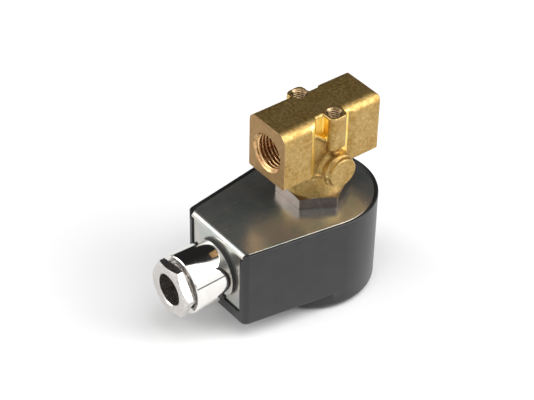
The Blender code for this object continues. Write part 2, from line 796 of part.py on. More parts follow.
def build_front_plate(parts, cutters, gland_axis, mat):
    """The L-shaped plate: it fills the cup's open side and turns down into the gland end's window."""
    inset = HOUSING_WALL + GAP
    under = RIM_Z - PLATE_THICKNESS
    plate = prism("front_plate", housing_outline(inset), under, RIM_Z, parts)
    bend_x = -(PLATE_FACE_X - PLATE_BEND_RADIUS)
    trim = box(
        "plate_trim_cut",
        (-HOUSING_END_X - THROUGH, -HOUSING_RADIUS, under - THROUGH),
        (bend_x, HOUSING_RADIUS, RIM_Z + THROUGH),
        cutters,
    )
    cut(plate, trim)

    bend_z = RIM_Z - PLATE_BEND_RADIUS
    foot = WINDOW_BOTTOM + GAP
    outline = [(bend_x + 4 * MM, under), (bend_x + 4 * MM, RIM_Z)]
    outline += arc(bend_x, bend_z, PLATE_BEND_RADIUS, math.pi / 2, math.pi, 6)
    outline += [(-PLATE_FACE_X, foot), (-PLATE_FACE_X + PLATE_THICKNESS, foot)]
    outline += arc(bend_x, bend_z, PLATE_BEND_RADIUS - PLATE_THICKNESS, math.pi, math.pi / 2, 4)
    section_axis = empty("bend_axis", (0, 0, 0), (math.pi / 2, 0, 0), cutters)
    half = WINDOW_HALF_WIDTH - GAP
    angle = prism("plate_angle", outline, -half, half, cutters, parent=section_axis)
    join(plate, angle)

    tube_hole = rod(
        "plate_tube_hole_cut", PLATE_TUBE_HOLE, under - THROUGH, RIM_Z + THROUGH, cutters, steps=STEPS_MEDIUM
    )
    gland_hole = rod(
        "plate_gland_hole_cut",
        GLAND_HOLE_RADIUS,
        PLATE_FACE_X - PLATE_THICKNESS - THROUGH,
        PLATE_FACE_X + THROUGH,
        cutters,
        steps=STEPS_MEDIUM,
        parent=gland_axis,
    )
    cut(plate, tube_hole, gland_hole)
    return finish(plate, mat)


def build_coil(parts, cutters, plastic, copper, tape, steel):
    drum = COIL_BORE + BOBBIN_WALL
    top_flange = COIL_TOP - BOBBIN_FLANGE
    low_flange = COIL_BOTTOM + BOBBIN_FLANGE
    bobbin = turned(
        "coil_bobbin",
        [
            (BOBBIN_FLANGE_RADIUS, COIL_TOP),
            (BOBBIN_FLANGE_RADIUS, top_flange),
            (drum, top_flange),
            (drum, low_flange),
            (BOBBIN_FLANGE_RADIUS, low_flange),
            (BOBBIN_FLANGE_RADIUS, COIL_BOTTOM),
            (COIL_BORE, COIL_BOTTOM),
            (COIL_BORE, COIL_TOP),
        ],
        parts,
        closed=True,
    )
    finish(bobbin, plastic)
    low = low_flange + GAP
    high = top_flange - GAP
    winding = ring("coil_winding", drum + GAP, WINDING_RADIUS, low, high, parts)
    finish(winding, copper)
    tape_inner = WINDING_RADIUS + GAP
    wrap = ring("winding_tape", tape_inner, tape_inner + TAPE_THICKNESS, low, high, parts)
    finish(wrap, tape)

    washer_top = COIL_BOTTOM - GAP
    flux = ring(
        "flux_washer", TUBE_RADIUS + GAP, FLUX_WASHER_RADIUS, washer_top - FLUX_WASHER_THICKNESS, washer_top, parts
    )
    finish(flux, steel)
    washer_high = RECESS_TOP - GAP
    washer_low = washer_high - COIL_WASHER_THICKNESS
    bore = STUD_RADIUS + STUD_CLEARANCE
    spring_washer = ring("coil_washer", bore, COIL_WASHER_RADIUS, washer_low, washer_high, parts)
    finish(spring_washer, steel)
    nut_high = washer_low - GAP
    nut_low = nut_high - COIL_NUT_HEIGHT
    nut = chamfered_hexagon("coil_nut", COIL_NUT_ACROSS_FLATS, nut_low, nut_high, 0.5 * MM, parts, cutters)
    nut_bore = rod("coil_nut_bore_cut", bore, nut_low - THROUGH, nut_high + THROUGH, cutters)
    cut(nut, nut_bore)
    finish(nut, steel)


def build_terminals(parts, cutters, plastic, brass, steel, copper):
    """The block for the incoming wires, a clamp and a screw for each pole, both leads and the earth screw."""
    block = box(
        "terminal_block",
        (BLOCK_X[0], -BLOCK_HALF_WIDTH, BLOCK_Z[0]),
        (BLOCK_X[1], BLOCK_HALF_WIDTH, BLOCK_Z[1]),
        parts,
    )
    clamp_length, clamp_width, clamp_height = CLAMP_SIZE
    clamp_high = BLOCK_X[1] - GAP
    clamp_low = clamp_high - clamp_length
    screw_x = (clamp_low + clamp_high) / 2
    clamp_top = CLAMP_BOTTOM + clamp_height
    for pole, label in POLES:
        y = pole * POLE_PITCH
        pocket = box(
            "pocket_%s_cut" % label,
            (clamp_low - GAP, y - clamp_width / 2 - GAP, CLAMP_BOTTOM - GAP),
            (BLOCK_X[1] + THROUGH, y + clamp_width / 2 + GAP, BLOCK_Z[1] + THROUGH),
            cutters,
        )
        cut(block, pocket)
        clamp = box(
            "terminal_clamp_" + label,
            (clamp_low, y - clamp_width / 2, CLAMP_BOTTOM),
            (clamp_high, y + clamp_width / 2, clamp_top),
            parts,
        )
        hole = rod(
            "clamp_%s_hole_cut" % label,
            CLAMP_SCREW_RADIUS + GAP,
            CLAMP_BOTTOM - THROUGH,
            clamp_top + THROUGH,
            cutters,
            steps=STEPS_TINY,
            x=screw_x,
            y=y,
        )
        cut(clamp, hole)
        finish(clamp, brass)
        screw = turned(
            "terminal_screw_" + label,
            [
                (0, clamp_top + GAP + CLAMP_HEAD_HEIGHT),
                (CLAMP_HEAD_RADIUS, clamp_top + GAP + CLAMP_HEAD_HEIGHT),
                (CLAMP_HEAD_RADIUS, clamp_top + GAP),
                (CLAMP_SCREW_RADIUS, clamp_top + GAP),
                (CLAMP_SCREW_RADIUS, CLAMP_BOTTOM + GAP),
                (0, CLAMP_BOTTOM + GAP),
            ],
            parts,
            steps=STEPS_TINY,
        )
        screw.location = (screw_x, y, 0)
        finish(screw, steel)
    finish(block, plastic)

    earth = turned(
        "earth_screw",
        [
            (0, RIM_Z - PLATE_THICKNESS - GAP),
            (EARTH_HEAD_RADIUS, RIM_Z - PLATE_THICKNESS - GAP),
            (EARTH_HEAD_RADIUS, RIM_Z - PLATE_THICKNESS - GAP - EARTH_HEAD_HEIGHT),
            (0, RIM_Z - PLATE_THICKNESS - GAP - EARTH_HEAD_HEIGHT),
        ],
        parts,
        steps=STEPS_TINY,
    )
    earth.location = (EARTH_X, EARTH_Y, 0)
    finish(earth, steel)
    build_leads(parts, clamp_high, copper)


def build_leads(parts, clamp_face, mat):
    """Two wires, from the outside of the winding down to the outer poles of the terminal block."""
    tape_radius = WINDING_RADIUS + GAP + TAPE_THICKNESS
    start_radius = tape_radius + GAP + 0.2 * MM
    for side, label in ((1, "b"), (-1, "a")):
        start_y = side * POLE_PITCH * 0.9
        start_x = -math.sqrt(start_radius ** 2 - start_y ** 2)
        end_y = side * POLE_PITCH
        wire_z = CLAMP_BOTTOM + 1.2 * MM
        route = [
            (start_x, start_y, -52.0 * MM),
            (start_x - 1.4 * MM, start_y, -52.6 * MM),
            (start_x - 2.4 * MM, start_y, -54.4 * MM),
            (start_x - 2.9 * MM, end_y, -57.4 * MM),
            (start_x - 3.6 * MM, end_y, wire_z + 0.9 * MM),
            (clamp_face + 1.5 * MM, end_y, wire_z + 0.1 * MM),
            (clamp_face + GAP, end_y, wire_z),
        ]
        curve = bpy.data.curves.new("coil_lead_" + label, "CURVE")
        curve.dimensions = "3D"
        curve.bevel_depth = LEAD_RADIUS
        curve.bevel_resolution = 1
        curve.use_fill_caps = True
        spline = curve.splines.new("POLY")
        spline.points.add(len(route) - 1)
        for point, place in zip(spline.points, route):
            point.co = (*place, 1.0)
        finish(meshed("coil_lead_" + label, curve, parts), mat)


# Cable gland --------------------------------------------------------------------------------------


def build_gland(parts, cutters, axis, nickel, rubber, steel):
    mouth_inner = GLAND_BORE_RADIUS
    body = turned(
        "gland_body",
        [
            (GLAND_RADIUS - GLAND_MOUTH_CHAMFER, GLAND_MOUTH),
            (GLAND_RADIUS, GLAND_MOUTH - GLAND_MOUTH_CHAMFER),
            (GLAND_RADIUS, GLAND_SHOULDER),
            (GLAND_SPIGOT_RADIUS, GLAND_SHOULDER),
            (GLAND_SPIGOT_RADIUS, GLAND_INNER_END),
            (GLAND_PASSAGE_RADIUS, GLAND_INNER_END),
            (GLAND_PASSAGE_RADIUS, GLAND_SEAT),
            (mouth_inner, GLAND_SEAT),
            (mouth_inner, GLAND_MOUTH),
        ],
        parts,
        closed=True,
        steps=STEPS_LARGE,
        parent=axis,
    )
    finish(body, nickel)
    gasket = ring("gland_gasket", GLAND_HOLE_RADIUS, GASKET_RADIUS, *GASKET, parts, parent=axis)
    finish(gasket, rubber)
    locknut = chamfered_hexagon(
        "gland_locknut", LOCKNUT_ACROSS_FLATS, *LOCKNUT, 0.5 * MM, parts, cutters, turn=math.pi / 6, parent=axis
    )
    locknut_bore = rod(
        "locknut_bore_cut",
        GLAND_HOLE_RADIUS,
        LOCKNUT[0] - THROUGH,
        LOCKNUT[1] + THROUGH,
        cutters,
        steps=STEPS_MEDIUM,
        parent=axis,
    )
    cut(locknut, locknut_bore)
    finish(locknut, nickel)
    seal = ring(
        "gland_seal", GLAND_SEAL_HOLE, GLAND_BORE_RADIUS - GAP, *GLAND_SEAL, parts, parent=axis, chamfer=0.8 * MM
    )
    finish(seal, rubber)
    washer = ring("gland_slip_washer", SLIP_WASHER_HOLE, SLIP_WASHER_RADIUS, *SLIP_WASHER, parts, parent=axis)
    finish(washer, steel)

    screw = chamfered_hexagon(
        "gland_screw", SCREW_ACROSS_FLATS, *SCREW_HEX, 0.5 * MM, parts, cutters, turn=SCREW_HEX_TURN, parent=axis
    )
    shank = rod(
        "screw_shank",
        SCREW_SHANK_RADIUS,
        SCREW_SHANK_START,
        SCREW_HEX[0] + THROUGH,
        cutters,
        steps=STEPS_MEDIUM,
        parent=axis,
    )
    cable_way = turned(
        "cable_way_cut",
        [
            (0, SCREW_HEX[1] + THROUGH),
            (SCREW_HOLE_RADIUS + 0.5 * MM + THROUGH, SCREW_HEX[1] + THROUGH),
            (SCREW_HOLE_RADIUS, SCREW_HEX[1] - 0.5 * MM),
            (SCREW_HOLE_RADIUS, SCREW_SHANK_START - THROUGH),
            (0, SCREW_SHANK_START - THROUGH),
        ],
        cutters,
        parent=axis,
    )
    join(screw, shank)
    cut(screw, cable_way)
    finish(screw, nickel)


def main():
    clear_scene()
    parts = collection("solenoid_valve")
    cutters = collection("cutters")

    brass = material("forged_brass", (0.62, 0.42, 0.16), 0.34, 1.0)
    clamp_brass = material("clamp_brass", (0.70, 0.52, 0.22), 0.30, 1.0)
    steel = material("plated_steel", (0.62, 0.60, 0.58), 0.28, 1.0)
    plate_steel = material("bright_zinc", (0.60, 0.61, 0.60), 0.14, 1.0)
    stainless = material("stainless_steel", (0.58, 0.58, 0.57), 0.25, 1.0)
    spring_steel = material("spring_steel", (0.50, 0.50, 0.50), 0.30, 1.0)
    copper = material("copper", (0.72, 0.35, 0.20), 0.35, 1.0)
    nickel = material("polished_nickel", (0.72, 0.70, 0.66), 0.10, 1.0)
    paint = material("black_paint", (0.055, 0.057, 0.062), 0.48, 0.0)
    rubber = material("black_rubber", (0.02, 0.02, 0.02), 0.75, 0.0)
    plastic = material("dark_plastic", (0.05, 0.05, 0.05), 0.55, 0.0)
    tape = material("coil_tape", (0.45, 0.30, 0.06), 0.45, 0.0)

    gland_axis = empty("gland_axis", (0, 0, GLAND_Z), (0, -math.pi / 2, 0), parts)

    build_valve_body(parts, cutters, brass)
    build_tube_group(parts, cutters, steel, stainless, copper, rubber)
    build_plunger_group(parts, cutters, stainless, rubber, spring_steel)
    build_housing_cup(parts, cutters, paint)
    build_front_plate(parts, cutters, gland_axis, plate_steel)
    build_coil(parts, cutters, plastic, copper, tape, steel)
    build_terminals(parts, cutters, plastic, clamp_brass, steel, copper)
    build_gland(parts, cutters, gland_axis, nickel, rubber, steel)


main()
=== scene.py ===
"""Looks of the solenoid valve: fine surfaces for every piece that shows, materials, floor, lights and camera.

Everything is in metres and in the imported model's frame: +Z up along the valve's axis, the origin in the
middle of the brass body's top face, the cable gland at -X. MM turns millimetres into metres.
"""
import math

import bmesh
import bpy
from mathutils import Matrix, Vector


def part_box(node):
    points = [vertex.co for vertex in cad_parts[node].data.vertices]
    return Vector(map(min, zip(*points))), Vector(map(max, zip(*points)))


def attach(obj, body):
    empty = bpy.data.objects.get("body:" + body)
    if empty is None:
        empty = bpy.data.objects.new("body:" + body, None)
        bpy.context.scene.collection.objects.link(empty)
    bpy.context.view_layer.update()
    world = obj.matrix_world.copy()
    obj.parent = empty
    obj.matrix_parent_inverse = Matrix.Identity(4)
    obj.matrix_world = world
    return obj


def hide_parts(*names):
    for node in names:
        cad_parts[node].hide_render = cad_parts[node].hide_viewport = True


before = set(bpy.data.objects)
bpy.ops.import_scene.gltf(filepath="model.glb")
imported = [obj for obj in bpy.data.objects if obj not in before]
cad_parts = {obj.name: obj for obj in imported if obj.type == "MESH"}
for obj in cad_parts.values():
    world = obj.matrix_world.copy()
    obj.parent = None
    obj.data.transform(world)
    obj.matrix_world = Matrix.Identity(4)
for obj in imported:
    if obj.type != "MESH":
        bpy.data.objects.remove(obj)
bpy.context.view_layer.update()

MM = 0.001
THROUGH = 1.0 * MM                  # how far a cutter runs past the face that it cuts

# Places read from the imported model
BODY_LOW, BODY_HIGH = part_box("valve_body")
HEX_LOW, HEX_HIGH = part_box("tube_hex_flange")
CUP_LOW, CUP_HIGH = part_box("housing_cup")
PLATE_LOW, PLATE_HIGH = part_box("front_plate")
GLAND_LOW, GLAND_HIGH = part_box("gland_body")
SCREW_LOW, SCREW_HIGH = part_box("gland_screw")
GASKET_LOW, GASKET_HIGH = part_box("gland_gasket")
SEAL_LOW, SEAL_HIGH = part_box("gland_seal")
WASHER_LOW, WASHER_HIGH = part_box("gland_slip_washer")
NUT_LOW, NUT_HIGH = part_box("coil_nut")
NUT_WASHER_LOW, NUT_WASHER_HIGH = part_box("coil_washer")
CORE_LOW, CORE_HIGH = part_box("fixed_core")

# Brass body
TOP = BODY_HIGH.z
COLLAR_BOTTOM = BODY_LOW.z
PORT_FACE = BODY_HIGH.x
BLOCK_HALF_WIDTH = 9.2 * MM
BLOCK_BOTTOM = TOP - 21.1 * MM
PORT_Z = TOP - 11.2 * MM
BOSS_FACE = BODY_LOW.y
BOSS_X = 1.6 * MM
BOSS_Z = TOP - 21.2 * MM
COLLAR_RADIUS = 11.0 * MM
PORT_THREAD = (5.75 * MM, 6.62 * MM, 1.337 * MM)       # minor radius, major radius, pitch
FIXING_THREAD = (2.08 * MM, 2.5 * MM, 0.8 * MM)
FIXING_AT = Vector((1.2 * MM, -7.4 * MM))

# Cable gland: heights along its own axis, which runs along -X
GLAND_Z = (GLAND_LOW.z + GLAND_HIGH.z) / 2
GLAND_RADIUS = (GLAND_HIGH.z - GLAND_LOW.z) / 2
GLAND_AXIS = Matrix.Translation((0, 0, GLAND_Z)) @ Matrix.Rotation(-math.pi / 2, 4, "Y")
SCREW_THREAD = (7.25 * MM, 8.0 * MM, 1.25 * MM)


# Meshes --------------------------------------------------------------------------------------------


def add_mesh(name, bm):
    """The bmesh as an object, with its faces turned outwards."""
    bmesh.ops.recalc_face_normals(bm, faces=bm.faces)
    mesh = bpy.data.meshes.new(name)
    bm.to_mesh(mesh)
    bm.free()
    obj = bpy.data.objects.new(name, mesh)
    bpy.context.scene.collection.objects.link(obj)
    return obj


def arc(cx, cy, radius, start, end, steps):
    """Points of an arc, both ends included; angles in degrees."""
    points = []
    for i in range(steps + 1):
        angle = math.radians(start + (end - start) * i / steps)
        points.append((cx + radius * math.cos(angle), cy + radius * math.sin(angle)))
    return points


def rounded(corners, steps=4):
    """A closed outline from (x, y, radius) corners, each rounded by its radius."""
    outline = []
    count = len(corners)
    for i, (x, y, radius) in enumerate(corners):
        here = Vector((x, y))
        before = (Vector(corners[i - 1][:2]) - here)
        after = (Vector(corners[(i + 1) % count][:2]) - here)
        if radius <= 0:
            outline.append((x, y))
            continue
        half = before.angle(after) / 2
        reach = min(radius / math.tan(half), 0.49 * before.length, 0.49 * after.length)
        start = here + before.normalized() * reach
        end = here + after.normalized() * reach
        for j in range(steps + 1):
            t = j / steps
            weights = ((1 - t) ** 2, 2 * math.sin(half) * t * (1 - t), t ** 2)
            point = (start * weights[0] + here * weights[1] + end * weights[2]) / sum(weights)
            outline.append((point.x, point.y))
    return outline


def inset_corners(corners, distance):
    """The corners of a counter-clockwise outline after it has moved inwards."""
    moved = []
    count = len(corners)
    for i, (x, y, radius) in enumerate(corners):
        here = Vector((x, y))
        ahead = (Vector(corners[(i + 1) % count][:2]) - here).normalized()
        behind = (here - Vector(corners[i - 1][:2])).normalized()
        side_a = Vector((-behind.y, behind.x))
        side_b = Vector((-ahead.y, ahead.x))
        point = here + (side_a + side_b) * distance / (1 + side_a.dot(side_b))
        if radius > 0:
            convex = behind.x * ahead.y - behind.y * ahead.x > 0
            radius = max(radius - distance, 0.05 * MM) if convex else radius + distance
        moved.append((point.x, point.y, radius))
    return moved


def terraced(name, corners, levels, steps=6):
    """A closed body from (inset, height) levels of one cornered outline, bottom to top."""
    bm = bmesh.new()
    rings = []
    for inset, height in levels:
        outline = rounded(inset_corners(corners, inset), steps)
        rings.append([bm.verts.new((x, y, height)) for x, y in outline])
    skin(bm, rings, len(rings[0]), closed=False)
    bm.faces.new(rings[0])
    bm.faces.new(rings[-1])
    return add_mesh(name, bm)


def lathe(name, outline, steps=128, matrix=None):
    """Turn a closed outline of (radius, height) points about Z."""
    bm = bmesh.new()
    rings = []
    for radius, height in outline:
        if radius < 1e-7:
            rings.append([bm.verts.new((0, 0, height))] * steps)
            continue
        ring = []
        for i in range(steps):
            angle = 2 * math.pi * i / steps
            ring.append(bm.verts.new((radius * math.cos(angle), radius * math.sin(angle), height)))
        rings.append(ring)
    skin(bm, rings, steps)
    if matrix is not None:
        bm.transform(matrix)
    return add_mesh(name, bm)


def skin(bm, rings, steps, closed=True):
    """Faces between neighbouring rings of the same number of points."""
    count = len(rings)
    for i in range(count if closed else count - 1):
        a = rings[i]
        b = rings[(i + 1) % count]
        for j in range(steps):
            k = (j + 1) % steps
            corners = []
            for vert in (a[j], a[k], b[k], b[j]):
                if vert not in corners:
                    corners.append(vert)
            if len(corners) > 2:
                bm.faces.new(corners)


def prism(name, outline, low, high, matrix=None):
    """A flat outline given thickness from low to high along Z."""
    bm = bmesh.new()
    below = [bm.verts.new((x, y, low)) for x, y in outline]
    above = [bm.verts.new((x, y, high)) for x, y in outline]
    count = len(outline)
    bm.faces.new(below)
    bm.faces.new(above)
    for i in range(count):
        j = (i + 1) % count
        bm.faces.new((below[i], below[j], above[j], above[i]))
    if matrix is not None:
        bm.transform(matrix)
    return add_mesh(name, bm)


def threaded(name, thread, low, high, matrix=None, steps=96, rows=12):
    """A closed screw: its surface follows a helical thread of (minor radius, major radius, pitch)."""
    minor, major, pitch = thread
    bm = bmesh.new()
    count = max(2, round((high - low) / pitch * rows))
    rings = []
    for i in range(count + 1):
        height = low + (high - low) * i / count
        ring = []
        for j in range(steps):
            phase = (height / pitch - j / steps) % 1.0
            flank = abs(2 * phase - 1) * 1.3 - 0.15
            radius = minor + (major - minor) * min(max(flank, 0.0), 1.0)
            angle = 2 * math.pi * j / steps
            ring.append(bm.verts.new((radius * math.cos(angle), radius * math.sin(angle), height)))
        rings.append(ring)
    skin(bm, rings, steps, closed=False)
    bm.faces.new(rings[0])
    bm.faces.new(rings[-1])
    if matrix is not None:
        bm.transform(matrix)
    return add_mesh(name, bm)


def bake(obj):
    """Apply the object's modifiers."""
    depsgraph = bpy.context.evaluated_depsgraph_get()
    mesh = bpy.data.meshes.new_from_object(obj.evaluated_get(depsgraph))
    obj.modifiers.clear()
    old = obj.data
    obj.data = mesh
    bpy.data.meshes.remove(old)
    mesh.name = obj.name
    return obj


def boolean(obj, others, operation):
    for other in others:
        step = obj.modifiers.new("cut", "BOOLEAN")
        step.operation = operation
        step.solver = "MANIFOLD"
        step.object = other
        bake(obj)
        bpy.data.objects.remove(other, do_unlink=True)
    return obj


def cut(obj, *others):
    return boolean(obj, others, "DIFFERENCE")


def union(obj, *others):
    return boolean(obj, others, "UNION")


def common(obj, *others):
    return boolean(obj, others, "INTERSECT")


def shade(obj, angle=30):
    obj.data.shade_smooth()
    obj.data.set_sharp_from_angle(angle=math.radians(angle))
    return obj


def block(name, low, high):
    outline = [(low[0], low[1]), (high[0], low[1]), (high[0], high[1]), (low[0], high[1])]
    return prism(name, outline, low[2], high[2])


def half_turn():
    return Matrix.Rotation(math.pi, 4, "Z")


def along(axis, at=(0, 0, 0)):
    """A matrix that lays local Z along a world axis, named as "+X", "-X" or "-Y"."""
    turns = {
        "+X": Matrix.Rotation(math.pi / 2, 4, "Y"),
        "-X": Matrix.Rotation(-math.pi / 2, 4, "Y"),
        "-Y": Matrix.Rotation(math.pi / 2, 4, "X"),
    }
    return Matrix.Translation(at) @ turns[axis]


# Materials -----------------------------------------------------------------------------------------


class Surface:
    """A Principled material and short ways to wire noise into it, in object coordinates."""

    def __init__(self, name, colour, roughness, metallic=0.0, **sockets):
        self.material = bpy.data.materials.new(name)
        self.material.use_nodes = True
        self.tree = self.material.node_tree
        self.shader = self.tree.nodes["Principled BSDF"]
        self.shader.inputs["Base Color"].default_value = (*colour, 1.0)
        self.shader.inputs["Roughness"].default_value = roughness
        self.shader.inputs["Metallic"].default_value = metallic
        for socket, value in sockets.items():
            self.shader.inputs[socket.replace("_", " ")].default_value = value
        self.place = self.node("ShaderNodeTexCoord").outputs["Object"]
        self.normal = None

    def node(self, kind, **settings):
        made = self.tree.nodes.new(kind)
        for key, value in settings.items():
            setattr(made, key, value)
        return made

    def link(self, source, target):
        self.tree.links.new(source, target)

    def stretched(self, scale, turn=(0, 0, 0)):
        """Object coordinates, scaled differently along each axis."""
        mapping = self.node("ShaderNodeMapping")
        mapping.inputs["Scale"].default_value = scale
        mapping.inputs["Rotation"].default_value = turn
        self.link(self.place, mapping.inputs["Vector"])
        return mapping.outputs["Vector"]

    def noise(self, size, detail=3.0, roughness=0.55, place=None):
        """Noise whose features are about size metres across."""
        made = self.node("ShaderNodeTexNoise")
        made.inputs["Scale"].default_value = 1.0 / size
        made.inputs["Detail"].default_value = detail
        made.inputs["Roughness"].default_value = roughness
        self.link(place or self.place, made.inputs["Vector"])
        return made.outputs["Fac"]

    def ranged(self, value, low, high, to_low=0.0, to_high=1.0):
        made = self.node("ShaderNodeMapRange")
        made.inputs["From Min"].default_value = low
        made.inputs["From Max"].default_value = high
        made.inputs["To Min"].default_value = to_low
        made.inputs["To Max"].default_value = to_high
        self.link(value, made.inputs["Value"])
        return made.outputs["Result"]

    def math(self, operation, a, b):
        made = self.node("ShaderNodeMath", operation=operation)
        for socket, value in zip(made.inputs, (a, b)):
            if isinstance(value, (int, float)):
                socket.default_value = value
            else:
                self.link(value, socket)
        return made.outputs["Value"]

    def mix(self, factor, first, second):
        """A colour between two colours or sockets."""
        made = self.node("ShaderNodeMix", data_type="RGBA")
        self.link(factor, made.inputs["Factor"])
        for socket, value in ((made.inputs[6], first), (made.inputs[7], second)):
            if isinstance(value, tuple):
                socket.default_value = (*value, 1.0)
            else:
                self.link(value, socket)
        return made.outputs[2]

    def colour(self, source):
        self.link(source, self.shader.inputs["Base Color"])

    def rough(self, source):
        self.link(source, self.shader.inputs["Roughness"])

    def bump(self, height, depth, strength=1.0):
        """Add relief of the given depth in metres; calls stack up."""
        made = self.node("ShaderNodeBump")
        made.inputs["Distance"].default_value = depth
        made.inputs["Strength"].default_value = strength
        self.link(height, made.inputs["Height"])
        if self.normal is not None:
            self.link(self.normal, made.inputs["Normal"])
        self.normal = made.outputs["Normal"]
        self.link(self.normal, self.shader.inputs["Normal"])


def bounce_lit_brass():
    """The recesses' brass, painted brighter and yellower: painted bounce light from the recess walls."""
    s = Surface("bounce_lit_brass", (0.95, 0.66, 0.20), 0.36, 1.0)
    # brighter, yellower brass: painted bounce light in the recesses
    s.colour(s.mix(s.ranged(s.noise(1.4 * MM, 4.0), 0.35, 0.65), (0.84, 0.58, 0.13), (0.95, 0.75, 0.27)))
    s.rough(s.ranged(s.noise(0.9 * MM, 4.0), 0.3, 0.7, 0.30, 0.44))
    s.bump(s.noise(0.20 * MM, 3.0), 0.016 * MM, 0.6)
    s.bump(s.noise(1.8 * MM, 2.0), 0.035 * MM, 0.5)
    return s.material


def forged_brass():
    s = Surface("forged_brass", (0.52, 0.35, 0.12), 0.34, 0.94)
    broad = s.ranged(s.noise(6.0 * MM, 3.0), 0.38, 0.62)
    tone = s.mix(broad, (0.32, 0.185, 0.047), (0.39, 0.265, 0.095))
    patches = s.ranged(s.noise(1.3 * MM, 5.0, 0.7), 0.40, 0.66)
    tone = s.mix(s.math("MULTIPLY", patches, 0.8), tone, (0.56, 0.39, 0.15))
    stains = s.ranged(s.noise(0.8 * MM, 4.0, 0.7), 0.52, 0.72)
    tone = s.mix(s.math("MULTIPLY", stains, 0.6), tone, (0.27, 0.15, 0.035))
    curvature = s.node("ShaderNodeNewGeometry").outputs["Pointiness"]
    # concave creases painted darker: painted shade. Convex edges painted lighter.
    tone = s.mix(s.ranged(curvature, 0.50, 0.44, 0.0, 0.55), tone, (0.22, 0.10, 0.025))
    tone = s.mix(s.ranged(curvature, 0.51, 0.58, 0.0, 0.8), tone, (0.80, 0.62, 0.30))
    spots = s.ranged(s.noise(0.36 * MM, 2.0), 0.61, 0.68)
    where = s.ranged(s.noise(3.2 * MM, 2.0), 0.52, 0.60)
    pits = s.math("MULTIPLY", spots, where)
    s.colour(s.mix(pits, tone, (0.10, 0.055, 0.02)))
    s.rough(s.ranged(s.noise(0.9 * MM, 4.0), 0.3, 0.7, 0.32, 0.52))
    rubbed = s.noise(0.24 * MM, 3.0, 0.65, s.stretched((1.0, 1.0, 0.12), (0, math.radians(40), 0)))
    s.bump(rubbed, 0.012 * MM, 0.5)
    s.bump(s.noise(0.20 * MM, 3.0), 0.016 * MM, 0.6)
    s.bump(s.noise(1.8 * MM, 2.0), 0.035 * MM, 0.5)
    s.bump(s.ranged(pits, 0.0, 1.0, 1.0, 0.0), 0.08 * MM, 0.6)
    return s.material


def machined_brass():
    s = Surface("machined_brass", (0.72, 0.50, 0.30), 0.30, 1.0)
    rings = turning_marks(s, PORT_Z)
    s.colour(s.mix(s.ranged(s.noise(1.8 * MM, 3.0), 0.35, 0.65), (0.28, 0.163, 0.062), (0.34, 0.21, 0.085)))
    s.rough(s.ranged(s.noise(0.5 * MM, 4.0), 0.3, 0.7, 0.32, 0.45))
    s.bump(rings, 0.006 * MM, 0.5)
    s.bump(s.noise(0.25 * MM, 3.0), 0.008 * MM, 0.5)
    return s.material


def turning_marks(s, height):
    """Fine rings around the X axis at a height, as a facing cut leaves."""
    apart = s.node("ShaderNodeSeparateXYZ")
    s.link(s.place, apart.inputs["Vector"])
    up = s.math("SUBTRACT", apart.outputs["Z"], height)
    square = s.math("ADD", s.math("POWER", apart.outputs["Y"], 2.0), s.math("POWER", up, 2.0))
    radius = s.math("SQRT", square, 0.0)
    return s.math("SINE", s.math("MULTIPLY", radius, 2 * math.pi / (0.18 * MM)), 0.0)


def hole_shade_brass():
    """The fixing holes' threads, painted darker: painted shade inside the holes."""
    s = Surface("hole_shade_brass", (0.26, 0.17, 0.09), 0.24, 1.0)
    # darker brass: painted shade in the fixing holes
    s.colour(s.mix(s.ranged(s.noise(1.2 * MM, 3.0), 0.35, 0.65), (0.15, 0.09, 0.045), (0.38, 0.27, 0.15)))
    s.rough(s.ranged(s.noise(0.4 * MM, 3.0), 0.3, 0.7, 0.20, 0.32))
    s.bump(s.noise(0.2 * MM, 2.0), 0.006 * MM, 0.5)
    return s.material


def thread_brass():
    s = Surface("thread_brass", (0.62, 0.36, 0.17), 0.26, 1.0)
    s.colour(s.mix(s.ranged(s.noise(1.2 * MM, 3.0), 0.35, 0.65), (0.52, 0.28, 0.12), (0.74, 0.50, 0.25)))
    s.rough(s.ranged(s.noise(0.4 * MM, 3.0), 0.3, 0.7, 0.22, 0.36))
    s.bump(s.noise(0.2 * MM, 2.0), 0.006 * MM, 0.5)
    return s.material


def plated_steel():
    s = Surface("plated_steel", (0.50, 0.46, 0.45), 0.20, 1.0)
    s.colour(s.mix(s.ranged(s.noise(3.0 * MM, 3.0), 0.35, 0.65), (0.38, 0.32, 0.295), (0.45, 0.385, 0.355)))
    lines = s.noise(0.16 * MM, 3.0, 0.6, s.stretched((0.12, 0.12, 1.0)))
    s.rough(s.ranged(lines, 0.3, 0.7, 0.15, 0.25))
    s.bump(lines, 0.0012 * MM, 0.4)
    return s.material


def bright_zinc():
    s = Surface("bright_zinc", (0.50, 0.51, 0.49), 0.24, 0.92)
    cloud = s.ranged(s.noise(7.0 * MM, 3.0), 0.38, 0.62)
    s.colour(s.mix(cloud, (0.44, 0.48, 0.46), (0.56, 0.53, 0.49)))
    grain = s.noise(0.35 * MM, 4.0, 0.65)
    scratches = s.noise(0.16 * MM, 4.0, 0.7, s.stretched((0.06, 1.0, 1.0), (0, 0, math.radians(35))))
    marks = s.ranged(scratches, 0.66, 0.74)
    s.rough(s.math("ADD", s.ranged(grain, 0.3, 0.7, 0.20, 0.27), s.math("MULTIPLY", marks, 0.12)))
    s.bump(grain, 0.0010 * MM, 0.5)
    s.bump(s.ranged(marks, 0.0, 1.0, 1.0, 0.0), 0.004 * MM, 0.5)
    return s.material


def black_paint():
    s = Surface("black_paint", (0.010, 0.010, 0.010), 0.34)
    cloud = s.ranged(s.noise(6.0 * MM, 4.0), 0.35, 0.65)
    s.colour(s.mix(cloud, (0.008, 0.008, 0.008), (0.012, 0.012, 0.012)))
    peel = s.noise(0.55 * MM, 2.0)
    s.rough(s.ranged(s.noise(0.3 * MM, 3.0), 0.3, 0.7, 0.31, 0.38))
    s.bump(peel, 0.006 * MM, 0.5)
    return s.material


